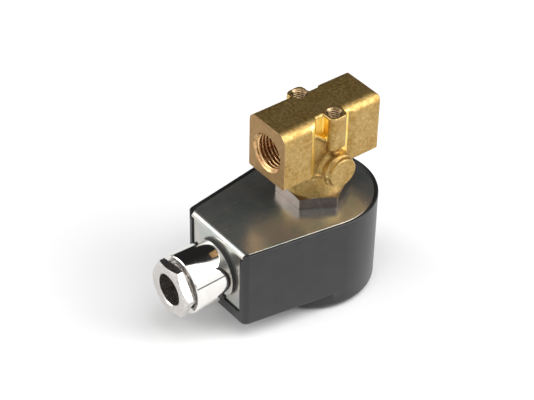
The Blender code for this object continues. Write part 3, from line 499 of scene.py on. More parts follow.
def polished_nickel():
    s = Surface("polished_nickel", (0.80, 0.78, 0.75), 0.07, 1.0)
    s.colour(s.mix(s.ranged(s.noise(3.0 * MM, 3.0), 0.35, 0.65), (0.71, 0.69, 0.66), (0.77, 0.75, 0.72)))
    s.rough(s.ranged(s.noise(0.5 * MM, 4.0), 0.3, 0.7, 0.05, 0.11))
    s.bump(s.noise(1.5 * MM, 3.0), 0.004 * MM, 0.5)
    return s.material


def satin_nickel():
    s = Surface("satin_nickel", (0.72, 0.69, 0.66), 0.26, 1.0)
    s.colour(s.mix(s.ranged(s.noise(1.5 * MM, 3.0), 0.35, 0.65), (0.55, 0.52, 0.495), (0.62, 0.59, 0.565)))
    s.rough(s.ranged(s.noise(0.4 * MM, 4.0), 0.3, 0.7, 0.22, 0.34))
    s.bump(turning_marks(s, GLAND_Z), 0.003 * MM, 0.4)
    s.bump(s.noise(0.3 * MM, 3.0), 0.006 * MM, 0.4)
    return s.material


def plain_metal(name, colour, roughness):
    """A turned metal piece, with faint marks across its axis."""
    s = Surface(name, colour, roughness, 1.0)
    darker = tuple(0.86 * c for c in colour)
    s.colour(s.mix(s.ranged(s.noise(1.5 * MM, 3.0), 0.35, 0.65), darker, colour))
    lines = s.noise(0.15 * MM, 3.0, 0.6, s.stretched((0.15, 0.15, 1.0)))
    s.rough(s.ranged(lines, 0.3, 0.7, 0.75 * roughness, 1.3 * roughness))
    s.bump(lines, 0.004 * MM, 0.4)
    return s.material


def wound_copper():
    """Enamelled wire: turns of 0.4 mm show as ridges around the axis."""
    s = Surface("wound_copper", (0.60, 0.26, 0.12), 0.30, 1.0)
    apart = s.node("ShaderNodeSeparateXYZ")
    s.link(s.place, apart.inputs["Vector"])
    turns = s.math("SINE", s.math("MULTIPLY", apart.outputs["Z"], 2 * math.pi / (0.4 * MM)), 0.0)
    # crowns of the turns painted lighter and grooves darker: painted highlight and painted shade on the
    # ridges
    s.colour(s.mix(s.ranged(turns, -1.0, 1.0), (0.30, 0.11, 0.05), (0.70, 0.32, 0.16)))
    s.rough(s.ranged(s.noise(0.8 * MM, 3.0), 0.3, 0.7, 0.25, 0.40))
    s.bump(turns, 0.05 * MM, 0.8)
    return s.material


def moulded(name, colour, roughness, grain=0.3 * MM, depth=0.012 * MM):
    s = Surface(name, colour, roughness)
    lighter = tuple(min(1.0, 1.35 * c + 0.004) for c in colour)
    s.colour(s.mix(s.ranged(s.noise(2.0 * MM, 4.0), 0.35, 0.65), colour, lighter))
    s.rough(s.ranged(s.noise(grain, 3.0), 0.3, 0.7, 0.85 * roughness, min(1.0, 1.15 * roughness)))
    s.bump(s.noise(grain, 4.0), depth, 0.6)
    return s.material


def floor_material():
    s = Surface("studio_floor", (0.86, 0.86, 0.86), 0.55)
    s.colour(s.mix(s.ranged(s.noise(80.0 * MM, 3.0), 0.3, 0.7), (0.85, 0.85, 0.85), (0.88, 0.88, 0.88)))
    s.bump(s.noise(1.5 * MM, 3.0), 0.01 * MM, 0.2)
    return s.material


def paint(obj, *materials):
    obj.data.materials.clear()
    for material in materials:
        obj.data.materials.append(material)
    return obj


# Brass body ----------------------------------------------------------------------------------------


def side_recess(name, left, right, wall, matrix):
    """A cutter for a recess in the -Y side, from left to right, down to a wall whose top edge is rounded."""
    edge = 1.2 * MM
    outline = [(wall, BLOCK_BOTTOM - 1 * MM), (-14.0 * MM, BLOCK_BOTTOM - 1 * MM)]
    outline += [(-14.0 * MM, TOP + 1 * MM), (wall + edge, TOP + 1 * MM)]
    outline += arc(wall + edge, TOP - edge, edge, 90, 180, 8)
    return prism(name, outline, left, right, matrix @ along("+X") @ Matrix.Rotation(math.pi / 2, 4, "Z"))


def side_slope(name, wall, matrix):
    """A cutter for the slanted wall between the inlet block and the recess."""
    outline = [
        (-9.3 * MM, -BLOCK_HALF_WIDTH - 0.05 * MM),
        (-7.5 * MM, -8.6 * MM),
        (wall + 1.0 * MM, wall),
        (wall + 1.0 * MM, -14.0 * MM),
        (-9.3 * MM, -14.0 * MM),
    ]
    return prism(name, outline, BLOCK_BOTTOM - 1 * MM, TOP + 1 * MM, matrix)


def side_groove(name, wall, matrix):
    """A cutter for the shallow hollow between a column and the outlet block."""
    outline = [
        (3.0 * MM, wall),
        (5.4 * MM, wall),
        (9.6 * MM, -BLOCK_HALF_WIDTH - 0.1 * MM),
        (9.6 * MM, -14.0 * MM),
        (3.0 * MM, -14.0 * MM),
    ]
    return prism(name, outline, BLOCK_BOTTOM - 1 * MM, TOP + 1 * MM, matrix)


def side_web(name, matrix):
    """The wall below the recess, with its upper edge sloping down past the column."""
    outline = [
        (-10.8 * MM, TOP - 1.8 * MM),
        (2.3 * MM, TOP - 13.1 * MM),
        (10.2 * MM, TOP - 14.2 * MM),
        (10.2 * MM, BLOCK_BOTTOM - 0.4 * MM),
        (-10.8 * MM, BLOCK_BOTTOM - 0.4 * MM),
    ]
    return prism(name, outline, 4.0 * MM, 7.9 * MM, matrix @ along("-Y"))


def ridge_bead(name, matrix):
    """The thin raised seam along the web's sloping edge."""
    start = Vector((-7.8 * MM, -7.7 * MM, TOP - 4.6 * MM))
    end = Vector((2.0 * MM, -7.7 * MM, TOP - 13.05 * MM))
    turn = (end - start).to_track_quat("Z", "Y").to_matrix().to_4x4()
    length = (end - start).length
    outline = [(0, 0), (0.8 * MM, 0), (0.8 * MM, length), (0, length)]
    return lathe(name, outline, 16, matrix @ Matrix.Translation(start) @ turn)


def column(name, matrix):
    """The squarish column around a fixing hole, with its foot tapered off."""
    plan = [
        (-2.2 * MM, -11.2 * MM, 2.0 * MM),
        (4.8 * MM, -10.7 * MM, 2.2 * MM),
        (4.8 * MM, -4.0 * MM, 0),
        (-2.2 * MM, -4.0 * MM, 0),
    ]
    levels = [(1.5 * MM, TOP - 14.0 * MM), (0, TOP - 12.4 * MM), (0, TOP - 0.25 * MM), (0.25 * MM, TOP)]
    obj = terraced(name, plan, levels)
    obj.data.transform(matrix)
    return obj


def build_body():
    grow = 0.8 * MM                 # the machined ends are cut back by this much after the skin is smoothed
    half = BLOCK_HALF_WIDTH
    far_end = PORT_FACE + 4 * MM
    section = rounded(
        [
            (-half, BLOCK_BOTTOM, 0.5 * MM),
            (half, BLOCK_BOTTOM, 0.5 * MM),
            (half, TOP, 3.0 * MM),
            (-half, TOP, 4.0 * MM),
        ],
        12,
    )
    lying = along("+X") @ Matrix.Rotation(math.pi / 2, 4, "Z")
    body = prism("brass_body", section, -far_end, far_end, lying)
    end_round = 1.5 * MM
    end_plan = [
        (-far_end, -half - 0.05 * MM, 0),
        (PORT_FACE + 0.03 * MM, -half - 0.05 * MM, 1.7 * MM),
        (PORT_FACE + 0.03 * MM, half + 0.05 * MM, 1.7 * MM),
        (-far_end, half + 0.05 * MM, 0),
    ]
    levels = [(0, BLOCK_BOTTOM - 1 * MM)]
    levels += [(end_round - x, TOP - end_round + z + 0.01 * MM) for x, z in arc(0, 0, end_round, 0, 90, 6)]
    common(body, terraced("end_form", end_plan, levels))
    cut(
        body,
        side_slope("near_slope", -6.3 * MM, Matrix()),
        side_recess("near_recess", -5.6 * MM, 0.6 * MM, -6.3 * MM, Matrix()),
        side_groove("near_groove", -7.9 * MM, Matrix()),
        side_slope("far_slope", -7.3 * MM, half_turn()),
        side_recess("far_recess", -6.6 * MM, 0.6 * MM, -7.3 * MM, half_turn()),
        side_groove("far_groove", -8.2 * MM, half_turn()),
    )

    collar = lathe(
        "collar",
        [
            (0, BLOCK_BOTTOM + 7 * MM),
            (6.0 * MM, BLOCK_BOTTOM + 7 * MM),
            (6.0 * MM, BLOCK_BOTTOM + 1 * MM),
            (9.0 * MM, BLOCK_BOTTOM - 0.2 * MM),
            (COLLAR_RADIUS - 0.8 * MM, BLOCK_BOTTOM - 0.5 * MM),
            (COLLAR_RADIUS, BLOCK_BOTTOM - 1.6 * MM),
            (COLLAR_RADIUS, COLLAR_BOTTOM - grow),
            (0, COLLAR_BOTTOM - grow),
        ],
    )
    boss_depth = -BOSS_FACE
    boss = lathe(
        "boss",
        rounded(
            [
                (0, boss_depth, 0),
                (5.2 * MM, boss_depth, 0.4 * MM),
                (5.2 * MM, 11.7 * MM, 0.15 * MM),
                (5.9 * MM, 11.1 * MM, 0.3 * MM),
                (5.9 * MM, 9.2 * MM, 0.5 * MM),
                (6.5 * MM, 8.1 * MM, 0.3 * MM),
                (6.5 * MM, 3.0 * MM, 0),
                (0, 3.0 * MM, 0),
            ]
        ),
        96,
        along("-Y", (BOSS_X, 0, BOSS_Z)),
    )
    shapes = [collar, boss]
    for side, matrix in (("near", Matrix()), ("far", half_turn())):
        shapes.append(side_web(side + "_web", matrix))
        shapes.append(ridge_bead(side + "_bead", matrix))
        shapes.append(column(side + "_column", matrix))
    union(body, *shapes)

    remesh = body.modifiers.new("skin", "REMESH")
    remesh.mode = "VOXEL"
    remesh.voxel_size = 0.18 * MM
    soften = body.modifiers.new("soften", "SMOOTH")
    soften.factor = 0.5
    soften.iterations = 14
    bake(body)

    wide = 30 * MM
    ends = [
        block("end_cut", (-PORT_FACE - wide, -wide, -wide), (-PORT_FACE, wide, wide)),
        block("foot_cut", (-wide, -wide, COLLAR_BOTTOM - wide), (wide, wide, HEX_HIGH_FACE)),
    ]
    cut(body, *ends)
    drill_body(body)
    return finish_body(body)


def drill_body(body):
    """The threaded ports, the fixing holes and the valve chamber."""
    minor = PORT_THREAD[0]
    for axis in ("+X", "-X"):
        at = along(axis, (0, 0, PORT_Z))
        bottom = PORT_FACE - 11.0 * MM
        cut(
            body,
            threaded("port_thread", PORT_THREAD, bottom + 1.2 * MM, PORT_FACE + THROUGH, at, 128, 14),
            lathe(
                "port_mouth",
                [
                    (0, PORT_FACE + THROUGH),
                    (7.0 * MM + THROUGH, PORT_FACE + THROUGH),
                    (7.0 * MM, PORT_FACE),
                    (6.1 * MM, PORT_FACE - 0.9 * MM),
                    (minor + 0.1 * MM, PORT_FACE - 1.2 * MM),
                    (minor + 0.02 * MM, bottom),
                    (2.2 * MM, bottom - 1.0 * MM),
                    (2.2 * MM, 0.5 * MM if axis == "+X" else 5.0 * MM),
                    (0, 0.5 * MM if axis == "+X" else 5.0 * MM),
                ],
                128,
                at,
            ),
        )
    for side in (1, -1):
        at = Matrix.Translation((side * FIXING_AT.x, side * FIXING_AT.y, 0))
        radius = FIXING_THREAD[0]
        cut(
            body,
            threaded("fixing_thread", FIXING_THREAD, TOP - 8.5 * MM, TOP + THROUGH, at, steps=64, rows=12),
            lathe(
                "fixing_mouth",
                [
                    (0, TOP + THROUGH),
                    (2.75 * MM + THROUGH, TOP + THROUGH),
                    (2.75 * MM, TOP),
                    (radius + 0.05 * MM, TOP - 0.55 * MM),
                    (radius + 0.01 * MM, TOP - 9.0 * MM),
                    (0, TOP - 10.2 * MM),
                ],
                64,
                at,
            ),
        )
    chamber = lathe(
        "chamber",
        [
            (0, TOP - 9.0 * MM),
            (2.5 * MM, TOP - 9.0 * MM),
            (2.5 * MM, TOP - 22.8 * MM),
            (3.4 * MM, TOP - 22.8 * MM),
            (3.7 * MM, TOP - 21.8 * MM),
            (7.9 * MM, TOP - 21.8 * MM),
            (7.9 * MM, TOP - 24.8 * MM),
            (9.0 * MM, TOP - 24.8 * MM),
            (9.0 * MM, COLLAR_BOTTOM - 2 * MM),
            (0, COLLAR_BOTTOM - 2 * MM),
        ],
    )
    drill = lathe(
        "inlet_drill",
        [(0, PORT_Z), (1.5 * MM, PORT_Z), (1.5 * MM, TOP - 22.8 * MM), (0, TOP - 22.8 * MM)],
        32,
        Matrix.Translation((-6.2 * MM, 0, 0)),
    )
    cut(body, chamber, drill)


def finish_body(body):
    """Machined faces, threads and recesses get their own materials, by where they lie; the recesses' brass
    carries painted bounce light and the fixing holes' brass painted shade.
    """
    shade(body, 32)
    paint(body, forged_brass(), machined_brass(), thread_brass(), bounce_lit_brass(), hole_shade_brass())
    near = 0.1 * MM
    forged, machined, thread, recess, fixing = range(5)
    ridge_fall = 0.863              # of the web's upper edge, for each millimetre along X
    for face in body.data.polygons:
        x, y, z = face.center
        radius = math.hypot(y, z - PORT_Z)
        on_end = abs(abs(x) - PORT_FACE) < near and abs(face.normal.x) > 0.9
        in_port = abs(x) > PORT_FACE - 13 * MM and radius < 7.05 * MM and abs(face.normal.x) < 0.98
        hole = min(
            math.hypot(x - FIXING_AT.x, y - FIXING_AT.y), math.hypot(x + FIXING_AT.x, y + FIXING_AT.y)
        )
        in_fixing = hole < 2.6 * MM and -12 * MM < z < -0.05 * MM
        inside = math.hypot(x, y) < 9.05 * MM and z < TOP - 21.5 * MM
        side = 1 if y < 0 else -1
        beside, out = side * x, side * y
        above_web = z > TOP - 1.8 * MM - ridge_fall * (beside + 10.8 * MM)
        in_recess = -6.9 * MM < beside < -2.1 * MM and -8.7 * MM < out < -5.5 * MM and above_web
        on_slope = -9.0 * MM < beside < -6.7 * MM and -9.1 * MM < out < -7.8 * MM
        in_groove = 4.7 * MM < beside < 6.6 * MM and -9.0 * MM < out < -7.0 * MM
        # the recesses, slanted wall and groove get the brighter brass: painted bounce light
        bounce_lit_area = (in_recess or on_slope or in_groove) and BLOCK_BOTTOM < z < TOP - 0.9 * MM
        if on_end:
            face.material_index = machined
        # the fixing holes get the darker brass: painted shade
        elif in_fixing:
            face.material_index = fixing
        elif in_port or inside:
            face.material_index = thread
        elif bounce_lit_area:
            face.material_index = recess
        else:
            face.material_index = forged
    return body


# Guide tube's hexagon and the underside's nut --------------------------------------------------------


def hex_outline(across_flats, turn=0.0, corner_round=0.12 * MM):
    """A hexagon with a corner at the angle turn, its corners slightly rounded."""
    radius = across_flats / math.sqrt(3)
    corners = []
    for i in range(6):
        angle = math.radians(turn + 60 * i)
        corners.append((radius * math.cos(angle), radius * math.sin(angle), corner_round))
    return rounded(corners, 3)


def hex_piece(name, across_flats, low, high, turn, chamfer_low, chamfer_high, matrix=None):
    """A hexagon whose corners are turned off at each end, by the given depths at the corner."""
    piece = prism(name, hex_outline(across_flats, turn), low, high)
    inner = across_flats / 2 - 0.15 * MM
    outer = across_flats / math.sqrt(3) + 1 * MM
    reach = (outer - inner) / (across_flats / math.sqrt(3) - inner)
    envelope = lathe(
        "envelope",
        [
            (0, high),
            (inner, high),
            (outer, high - chamfer_high * reach),
            (outer, low + chamfer_low * reach),
            (inner, low),
            (0, low),
        ],
        256,
    )
    common(piece, envelope)
    if matrix is not None:
        piece.data.transform(matrix)
    return piece


def build_tube_hexagon():
    low = PLATE_HIGH.z + 0.01 * MM
    piece = hex_piece("tube_hexagon", 22.0 * MM, low, HEX_HIGH_FACE, 30, 0.15 * MM, 0.7 * MM)
    spigot = threaded("spigot", (8.35 * MM, 8.8 * MM, 1.0 * MM), HEX_HIGH_FACE - 1 * MM, HEX_HIGH.z)
    union(piece, spigot)
    bore = lathe(
        "bore",
        [
            (0, HEX_HIGH.z + THROUGH),
            (7.3 * MM, HEX_HIGH.z + THROUGH),
            (7.3 * MM, HEX_LOW.z - THROUGH),
            (0, HEX_LOW.z - THROUGH),
        ],
    )
    cut(piece, bore)
    return piece


def build_stud():
    """The fixed core with its real thread, seen in the recess of the underside."""
    core_top = CORE_HIGH.z
    core = lathe(
        "core_and_stud",
        rounded(
            [
                (0, core_top, 0),
                (3.3 * MM, core_top, 0.1 * MM),
                (3.3 * MM, core_top - 2.1 * MM, 0),
                (4.9 * MM, core_top - 2.1 * MM, 0),
                (4.9 * MM, core_top, 0.1 * MM),
                (6.2 * MM, core_top, 0.2 * MM),
                (6.2 * MM, core_top - 13.3 * MM, 0),
                (7.0 * MM, core_top - 13.3 * MM, 0.1 * MM),
                (7.0 * MM, core_top - 15.0 * MM, 0.1 * MM),
                (3.4 * MM, core_top - 15.0 * MM, 0),
                (3.4 * MM, core_top - 15.5 * MM, 0),
                (0, core_top - 15.5 * MM, 0),
            ]
        ),
    )
    stud = threaded("stud", (3.35 * MM, 3.9 * MM, 1.0 * MM), CORE_LOW.z, core_top - 14.8 * MM, steps=64)
    tip = lathe(
        "tip",
        [
            (0, core_top),
            (12 * MM, core_top),
            (12 * MM, CORE_LOW.z + 1.5 * MM),
            (4.2 * MM, CORE_LOW.z + 0.8 * MM),
            (3.3 * MM, CORE_LOW.z),
            (0, CORE_LOW.z),
        ],
    )
    union(core, stud)
    common(core, tip)
    return core


def build_coil_nut():
    nut = hex_piece("coil_clamp_nut", 13.0 * MM, NUT_LOW.z, NUT_HIGH.z, 0, 0.7 * MM, 0.3 * MM)
    bore = lathe(
        "bore",
        [
            (0, NUT_HIGH.z + THROUGH),
            (4.2 * MM, NUT_HIGH.z + THROUGH),
            (4.2 * MM, NUT_LOW.z + 0.4 * MM),
            (4.7 * MM, NUT_LOW.z - 0.1 * MM),
            (4.7 * MM, NUT_LOW.z - THROUGH),
            (0, NUT_LOW.z - THROUGH),
        ],
        96,
    )
    return cut(nut, bore)


def build_coil_washer():
    """A split spring washer: its ends stand a little apart."""
    high = NUT_WASHER_HIGH.z
    low = NUT_WASHER_LOW.z
    edge = 0.15 * MM
    piece = lathe(
        "coil_clamp_washer",
        rounded(
            [(8.6 * MM, high, edge), (8.6 * MM, low, edge), (4.2 * MM, low, edge), (4.2 * MM, high, edge)]
        ),
    )
    gap = block("split", (4.0 * MM, -0.25 * MM, low - THROUGH), (9.0 * MM, 0.25 * MM, high + THROUGH))
    gap.data.transform(Matrix.Rotation(math.radians(200), 4, "Z"))
    return cut(piece, gap)


# Housing -------------------------------------------------------------------------------------------

HOUSING_RADIUS = CUP_HIGH.x
HOUSING_END = -CUP_LOW.x
HOUSING_CORNER = 2.5 * MM
SIDE_ANGLE = 99.2                   # direction of a flat side's normal, in degrees from +X
RIM = CUP_HIGH.z
LIP = 0.25 * MM                     # how far the cup's rim stands above the plate in it
FLAT_BOTTOM = RIM - 29.65 * MM
CAN_BOTTOM = CUP_LOW.z
WALL = 1.2 * MM
WINDOW_HALF = 13.0 * MM
BEND_HALF = 14.1 * MM               # the plate's bend is wider than the window below it
WINDOW_BOTTOM = RIM - 24.7 * MM
HEX_HIGH_FACE = (COLLAR_BOTTOM + TOP - 30.5 * MM) / 2


def housing_outline(inset):
    """The cup's plan, moved inwards by inset: a round end, two flat sides and a flat gland end."""
    angle = math.radians(SIDE_ANGLE)
    corner_x = -(HOUSING_END - HOUSING_CORNER)
    corner_y = (HOUSING_RADIUS - HOUSING_CORNER - math.cos(angle) * corner_x) / math.sin(angle)
    corner = max(HOUSING_CORNER - inset, 0.3 * MM)
    outline = arc(0, 0, HOUSING_RADIUS - inset, -SIDE_ANGLE, SIDE_ANGLE, 96)
    outline += arc(corner_x, corner_y, corner, SIDE_ANGLE, 180, 10)
    outline += arc(corner_x, -corner_y, corner, -180, -SIDE_ANGLE, 10)
    return outline


def stacked(name, levels):
    """A closed body from (inset, height) levels of the housing's plan, bottom to top, with flat ends."""
    bm = bmesh.new()
    rings = []
    for inset, height in levels:
        rings.append([bm.verts.new((x, y, height)) for x, y in housing_outline(inset)])
    skin(bm, rings, len(rings[0]), closed=False)
    bm.faces.new(rings[0])
    bm.faces.new(rings[-1])
    return add_mesh(name, bm)


def build_cup():
    rim_round = 0.4 * MM
    foot_round = 1.6 * MM
    levels = [(foot_round - x, FLAT_BOTTOM + foot_round + z) for x, z in arc(0, 0, foot_round, -90, 0, 8)]
    levels += [(rim_round - x, RIM + LIP - rim_round + z) for x, z in arc(0, 0, rim_round, 0, 90, 6)]
    cup = stacked("painted_cup", levels)
    foot = 3.2 * MM
    can = lathe(
        "can",
        [(0, FLAT_BOTTOM + 6 * MM), (HOUSING_RADIUS - 0.03 * MM, FLAT_BOTTOM + 6 * MM)]
        + [
            (HOUSING_RADIUS - 0.03 * MM - foot + x, CAN_BOTTOM + foot + z)
            for x, z in arc(0, 0, foot, 0, -90, 14)
        ]
        + [(0, CAN_BOTTOM)],
        192,
    )
    union(cup, can)
    floor = FLAT_BOTTOM + 1.3 * MM
    edge = 0.15 * MM
    top = RIM + LIP
    cavity = stacked(
        "cavity",
        [
            (WALL + 0.8 * MM, floor),
            (WALL, floor + 0.8 * MM),
            (WALL, top - edge),
            (WALL - edge, top),
            (WALL - edge, top + THROUGH),
        ],
    )
    recess = lathe(
        "recess",
        [
            (0, RIM - 29.7 * MM),
            (9.6 * MM, RIM - 29.7 * MM),
            (10.0 * MM, RIM - 30.1 * MM),
            (10.0 * MM, CAN_BOTTOM + 0.8 * MM),
            (10.8 * MM, CAN_BOTTOM),
            (10.8 * MM + THROUGH, CAN_BOTTOM - THROUGH),
            (0, CAN_BOTTOM - THROUGH),
        ],
    )
    above = floor + 2 * MM
    below = FLAT_BOTTOM - 4 * MM
    hole = lathe("hole", [(0, above), (7.3 * MM, above), (7.3 * MM, below), (0, below)])
    window = prism(
        "window",
        rounded(
            [
                (-WINDOW_HALF, WINDOW_BOTTOM, 1.0 * MM),
                (-WINDOW_HALF, RIM + 2 * MM, 0),
                (WINDOW_HALF, RIM + 2 * MM, 0),
                (WINDOW_HALF, WINDOW_BOTTOM, 1.0 * MM),
            ]
        ),
        HOUSING_END - WALL - 1 * MM,
        HOUSING_END + 2 * MM,
        along("-X") @ Matrix.Rotation(-math.pi / 2, 4, "Z"),
    )
    half = BEND_HALF + 0.2 * MM
    low = RIM - 2.3 * MM
    high = RIM + 2 * MM
    notch = prism(
        "notch",
        [(-half, low), (half, low), (half, high), (-half, high)],
        HOUSING_END - WALL - 1 * MM,
        HOUSING_END + 2 * MM,
        along("-X") @ Matrix.Rotation(-math.pi / 2, 4, "Z"),
    )
    cut(cup, cavity, recess, hole, window, notch)
    return cup


def build_plate():
    """The bent plate, with its edges broken and the bend rolled round."""
    inset = WALL + 0.12 * MM
    under = RIM - 1.5 * MM
    face_x = -PLATE_LOW.x
    bend = 2.0 * MM
    bend_x = -(face_x - bend)
    plate = stacked(
        "bent_plate",
        [(inset, under), (inset, RIM - 0.12 * MM), (inset + 0.12 * MM, RIM)],
    )
    wide = HOUSING_RADIUS
    beyond = (-HOUSING_END - THROUGH, -wide, under - THROUGH)
    cut(plate, block("trim", beyond, (bend_x + 0.01 * MM, wide, RIM + THROUGH)))
    foot = WINDOW_BOTTOM + 0.2 * MM
    for name, half, low in (("bend", BEND_HALF, RIM - 2.15 * MM), ("flange", WINDOW_HALF - 0.2 * MM, foot)):
        outline = [(bend_x + 3 * MM, under), (bend_x + 3 * MM, RIM)]
        outline += arc(bend_x, RIM - bend, bend, 90, 180, 14)
        outline += [(-face_x, low), (-face_x + 1.5 * MM, low)]
        outline += arc(bend_x, RIM - bend, bend - 1.5 * MM, 180, 90, 6)
        union(plate, prism(name, outline, -half, half, along("-Y")))
    above = RIM + THROUGH
    below = under - THROUGH
    tube_hole = lathe("tube_hole", [(0, above), (9.6 * MM, above), (9.6 * MM, below), (0, below)])
    outside = face_x + THROUGH
    inside = face_x - 3 * MM
    profile = [(0, outside), (8.0 * MM, outside), (8.0 * MM, inside), (0, inside)]
    gland_hole = lathe("gland_hole", profile, 96, GLAND_AXIS)
    return cut(plate, tube_hole, gland_hole)


# Cable gland ---------------------------------------------------------------------------------------


def build_gland_body():
    mouth = -GLAND_LOW.x
    inner_end = -GLAND_HIGH.x
    shoulder = -PLATE_LOW.x + 1.2 * MM
    seat = -SEAL_HIGH.x - 0.3 * MM
    edge = 0.35 * MM
    outline = rounded(
        [
            (GLAND_RADIUS, shoulder, 0.15 * MM),
            (7.7 * MM, shoulder, 0),
            (7.7 * MM, inner_end, 0.2 * MM),
            (5.5 * MM, inner_end, 0.2 * MM),
            (5.5 * MM, seat, 0),
            (8.3 * MM, seat, 0),
            (8.3 * MM, mouth - 0.5 * MM, 0),
            (8.75 * MM, mouth, 0.05 * MM),
            (GLAND_RADIUS - edge, mouth, 0.1 * MM),
            (GLAND_RADIUS, mouth - edge, 0.15 * MM),
        ],
        4,
    )
    return lathe("gland_barrel", outline, 256, GLAND_AXIS)


def build_gland_gasket():
    low = -PLATE_LOW.x + 0.02 * MM
    high = low + 1.16 * MM
    outer = (GASKET_HIGH.z - GASKET_LOW.z) / 2
    inner = 8.0 * MM
    edge = 0.2 * MM
    outline = rounded([(outer, high, edge), (outer, low, edge), (inner, low, edge), (inner, high, edge)])
    return lathe("gland_sealing_washer", outline, 128, GLAND_AXIS)


def build_gland_screw():
    face = -SCREW_LOW.x
    back = face - 3.0 * MM
    shank_end = -SCREW_HIGH.x
    screw = hex_piece("gland_pressure_screw", 17.6 * MM, back, face, 36, 0.25 * MM, 0.9 * MM)
    shank = threaded("shank", SCREW_THREAD, shank_end, back + 1 * MM, steps=128, rows=14)
    union(screw, shank)
    bore = lathe(
        "bore",
        [
            (0, face + THROUGH),
            (6.0 * MM + THROUGH, face + THROUGH),
            (6.0 * MM, face),
            (5.6 * MM, face - 0.4 * MM),
            (5.6 * MM, shank_end - THROUGH),
            (0, shank_end - THROUGH),
        ],
    )
    cut(screw, bore)
    screw.data.transform(GLAND_AXIS)
    return screw


def build_slip_washer():
    low = -WASHER_HIGH.x
    high = -WASHER_LOW.x
    outer = 7.9 * MM
    inner = 4.8 * MM
    edge = 0.1 * MM
    outline = rounded([(outer, high, edge), (outer, low, edge), (inner, low, edge), (inner, high, edge)])
    return lathe("slip_washer", outline, 96, GLAND_AXIS)


def build_gland_seal():
    low = -SEAL_HIGH.x
    high = -SEAL_LOW.x
    outline = rounded(
        [
            (8.0 * MM, high - 0.9 * MM, 0.3 * MM),
            (8.0 * MM, low + 0.9 * MM, 0.3 * MM),
            (6.8 * MM, low, 0.3 * MM),
            (4.2 * MM, low, 0.4 * MM),
            (4.2 * MM, high, 0.4 * MM),
            (6.8 * MM, high, 0.3 * MM),
        ]
    )
    return lathe("cable_seal", outline, 96, GLAND_AXIS)


# Floor, lights and camera ----------------------------------------------------------------------------


def build_floor(material):
    reach = 1.6
    floor = block("floor", (-reach, -reach, CAN_BOTTOM - 5 * MM), (reach, reach, CAN_BOTTOM - 0.02 * MM))
    paint(floor, material)


def area_light(name, place, target, size, power, colour=(1, 1, 1)):
    data = bpy.data.lights.new(name, "AREA")
    data.shape = "RECTANGLE"
    data.size, data.size_y = size
    data.energy = power
    data.color = colour
    light = bpy.data.objects.new(name, data)
    bpy.context.scene.collection.objects.link(light)
    light.location = place
    light.rotation_euler = (Vector(target) - Vector(place)).to_track_quat("-Z", "Y").to_euler()
    return light


def build_world():
    """A white studio with two dark sides: behind the object, which top faces mirror, and at the camera."""
    world = bpy.data.worlds.new("studio")
    world.use_nodes = True
    tree = world.node_tree
    sky = tree.nodes["Background"]
    where = tree.nodes.new("ShaderNodeTexCoord")
    shares = []
    sides = (
        ((0.55, 0.62, 0.55), ((0.56, 1.0), (0.66, 0.03), (0.90, 0.015))),
        ((-0.25, -0.72, 0.64), ((0.86, 1.0), (0.92, 0.04), (1.00, 0.02))),
    )
    for direction, stops in sides:
        dot = tree.nodes.new("ShaderNodeVectorMath")
        dot.operation = "DOT_PRODUCT"
        dot.inputs[1].default_value = Vector(direction).normalized()
        ramp = tree.nodes.new("ShaderNodeValToRGB")
        elements = ramp.color_ramp.elements
        elements.new(0.5)
        for element, (position, share) in zip(elements, stops):
            element.position = position
            element.color = (share, share, share, 1)
        tree.links.new(where.outputs["Generated"], dot.inputs[0])
        tree.links.new(dot.outputs["Value"], ramp.inputs["Fac"])
        shares.append(ramp.outputs["Color"])
    apart = tree.nodes.new("ShaderNodeSeparateXYZ")
    tree.links.new(where.outputs["Generated"], apart.inputs["Vector"])
    horizon = tree.nodes.new("ShaderNodeMapRange")
    horizon.inputs["From Min"].default_value = 0.05
    horizon.inputs["From Max"].default_value = 0.08
    horizon.inputs["To Min"].default_value = 0.15
    horizon.inputs["To Max"].default_value = 1.35
    tree.links.new(apart.outputs["Z"], horizon.inputs["Value"])
    tree.links.new(horizon.outputs["Result"], sky.inputs["Strength"])
    both = tree.nodes.new("ShaderNodeMix")
    both.data_type = "RGBA"
    both.blend_type = "MULTIPLY"
    both.inputs["Factor"].default_value = 1.0
    tree.links.new(shares[0], both.inputs[6])
    tree.links.new(shares[1], both.inputs[7])
    tree.links.new(both.outputs[2], sky.inputs["Color"])
    bpy.context.scene.world = world
    bpy.context.scene.view_settings.view_transform = "Standard"


def build_camera():
    """The camera stands on the side of the gland and boss, looking down at 39 degrees, slightly rolled."""
    azimuth, elevation, roll = math.radians(-38.56), math.radians(38.78), math.radians(1.29)
    away = math.cos(elevation)
    back = Vector((math.sin(azimuth) * away, -math.cos(azimuth) * away, math.sin(elevation)))
    level = Vector((math.cos(azimuth), math.sin(azimuth), 0))
    upright = back.cross(level)
    right = level * math.cos(roll) + upright * math.sin(roll)
    up = upright * math.cos(roll) - level * math.sin(roll)
    target = Vector((-12 * MM, 0, PLATE_HIGH.z))
    place = target + back * 578.05 * MM - right * 5.84 * MM + up * 0.39 * MM
    data = bpy.data.cameras.new("camera")
    data.sensor_width = 36.0
    data.lens = 118.04
    data.clip_start = 0.01
    camera = bpy.data.objects.new("camera", data)
    bpy.context.scene.collection.objects.link(camera)
    camera.matrix_world = Matrix.Translation(place) @ Matrix((right, up, back)).transposed().to_4x4()
    bpy.context.scene.camera = camera


# Assembly ------------------------------------------------------------------------------------------


def place(piece, body, slot, *nodes):
    """Let a fine piece stand for CAD nodes and ride on their body; slot is not used."""
    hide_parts(*nodes)
    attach(piece, body)


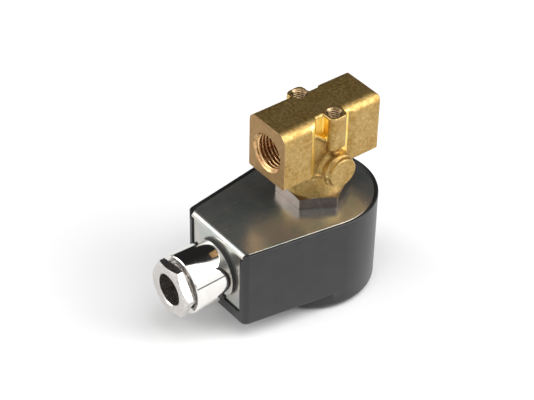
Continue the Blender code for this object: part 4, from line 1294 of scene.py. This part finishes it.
def main():
    build_camera()
    build_world()
    build_floor(floor_material())
    target = (-8 * MM, 0, -40 * MM)
    area_light("top", (0.10, -0.30, 0.95), target, (0.8, 0.8), 5.0)
    area_light("left", (-0.75, 0.62, 0.36), target, (0.6, 0.4), 2.8)
    area_light("right", (0.62, -0.72, 0.62), target, (0.8, 0.6), 7.0)

    steel = plated_steel()
    nickel = polished_nickel()
    satin = satin_nickel()
    rubber = moulded("black_rubber", (0.018, 0.018, 0.018), 0.62)
    plastic = moulded("dark_plastic", (0.035, 0.035, 0.037), 0.48)
    tape = moulded("coil_tape", (0.42, 0.27, 0.05), 0.38)
    stainless = plain_metal("stainless_steel", (0.58, 0.57, 0.55), 0.24)
    spring_steel = plain_metal("spring_steel", (0.46, 0.46, 0.46), 0.28)
    copper = plain_metal("copper", (0.72, 0.34, 0.19), 0.30)
    clamp_brass = plain_metal("clamp_brass", (0.72, 0.54, 0.24), 0.28)

    place(build_body(), "valve", "forged_brass", "valve_body")
    place(paint(shade(build_tube_hexagon()), steel), "valve", "plated_steel", "tube_hex_flange")
    place(paint(shade(build_stud()), stainless), "valve", "stainless_steel", "fixed_core")
    place(paint(shade(build_coil_nut()), steel), "valve", "plated_steel", "coil_nut")
    place(paint(shade(build_coil_washer()), steel), "valve", "plated_steel", "coil_washer")
    place(paint(shade(build_cup()), black_paint()), "coil_housing", "black_paint", "housing_cup")
    place(paint(shade(build_plate()), bright_zinc()), "coil_housing", "bright_zinc", "front_plate")
    place(paint(shade(build_gland_body()), nickel), "coil_housing", "polished_nickel", "gland_body")
    place(paint(shade(build_gland_gasket()), rubber), "coil_housing", "black_rubber", "gland_gasket")
    place(paint(shade(build_gland_seal()), rubber), "coil_housing", "black_rubber", "gland_seal")
    place(paint(shade(build_slip_washer()), steel), "gland_washer", "plated_steel", "gland_slip_washer")
    place(paint(shade(build_gland_screw()), satin), "gland_screw", "polished_nickel", "gland_screw")

    kept = {
        rubber: ["body_o_ring", "tube_o_ring", "plunger_seal"],
        stainless: ["guide_tube", "plunger"],
        spring_steel: ["plunger_spring"],
        copper: ["shading_ring", "coil_lead_a", "coil_lead_b"],
        wound_copper(): ["coil_winding"],
        tape: ["winding_tape"],
        plastic: ["coil_bobbin", "terminal_block"],
        steel: [
            "flux_washer",
            "earth_screw",
            "terminal_screw_a",
            "terminal_screw_b",
            "terminal_screw_earth",
        ],
        clamp_brass: ["terminal_clamp_a", "terminal_clamp_b", "terminal_clamp_earth"],
        nickel: ["gland_locknut"],
    }
    for material, names in kept.items():
        for name in names:
            paint(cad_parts[name], material)


main()
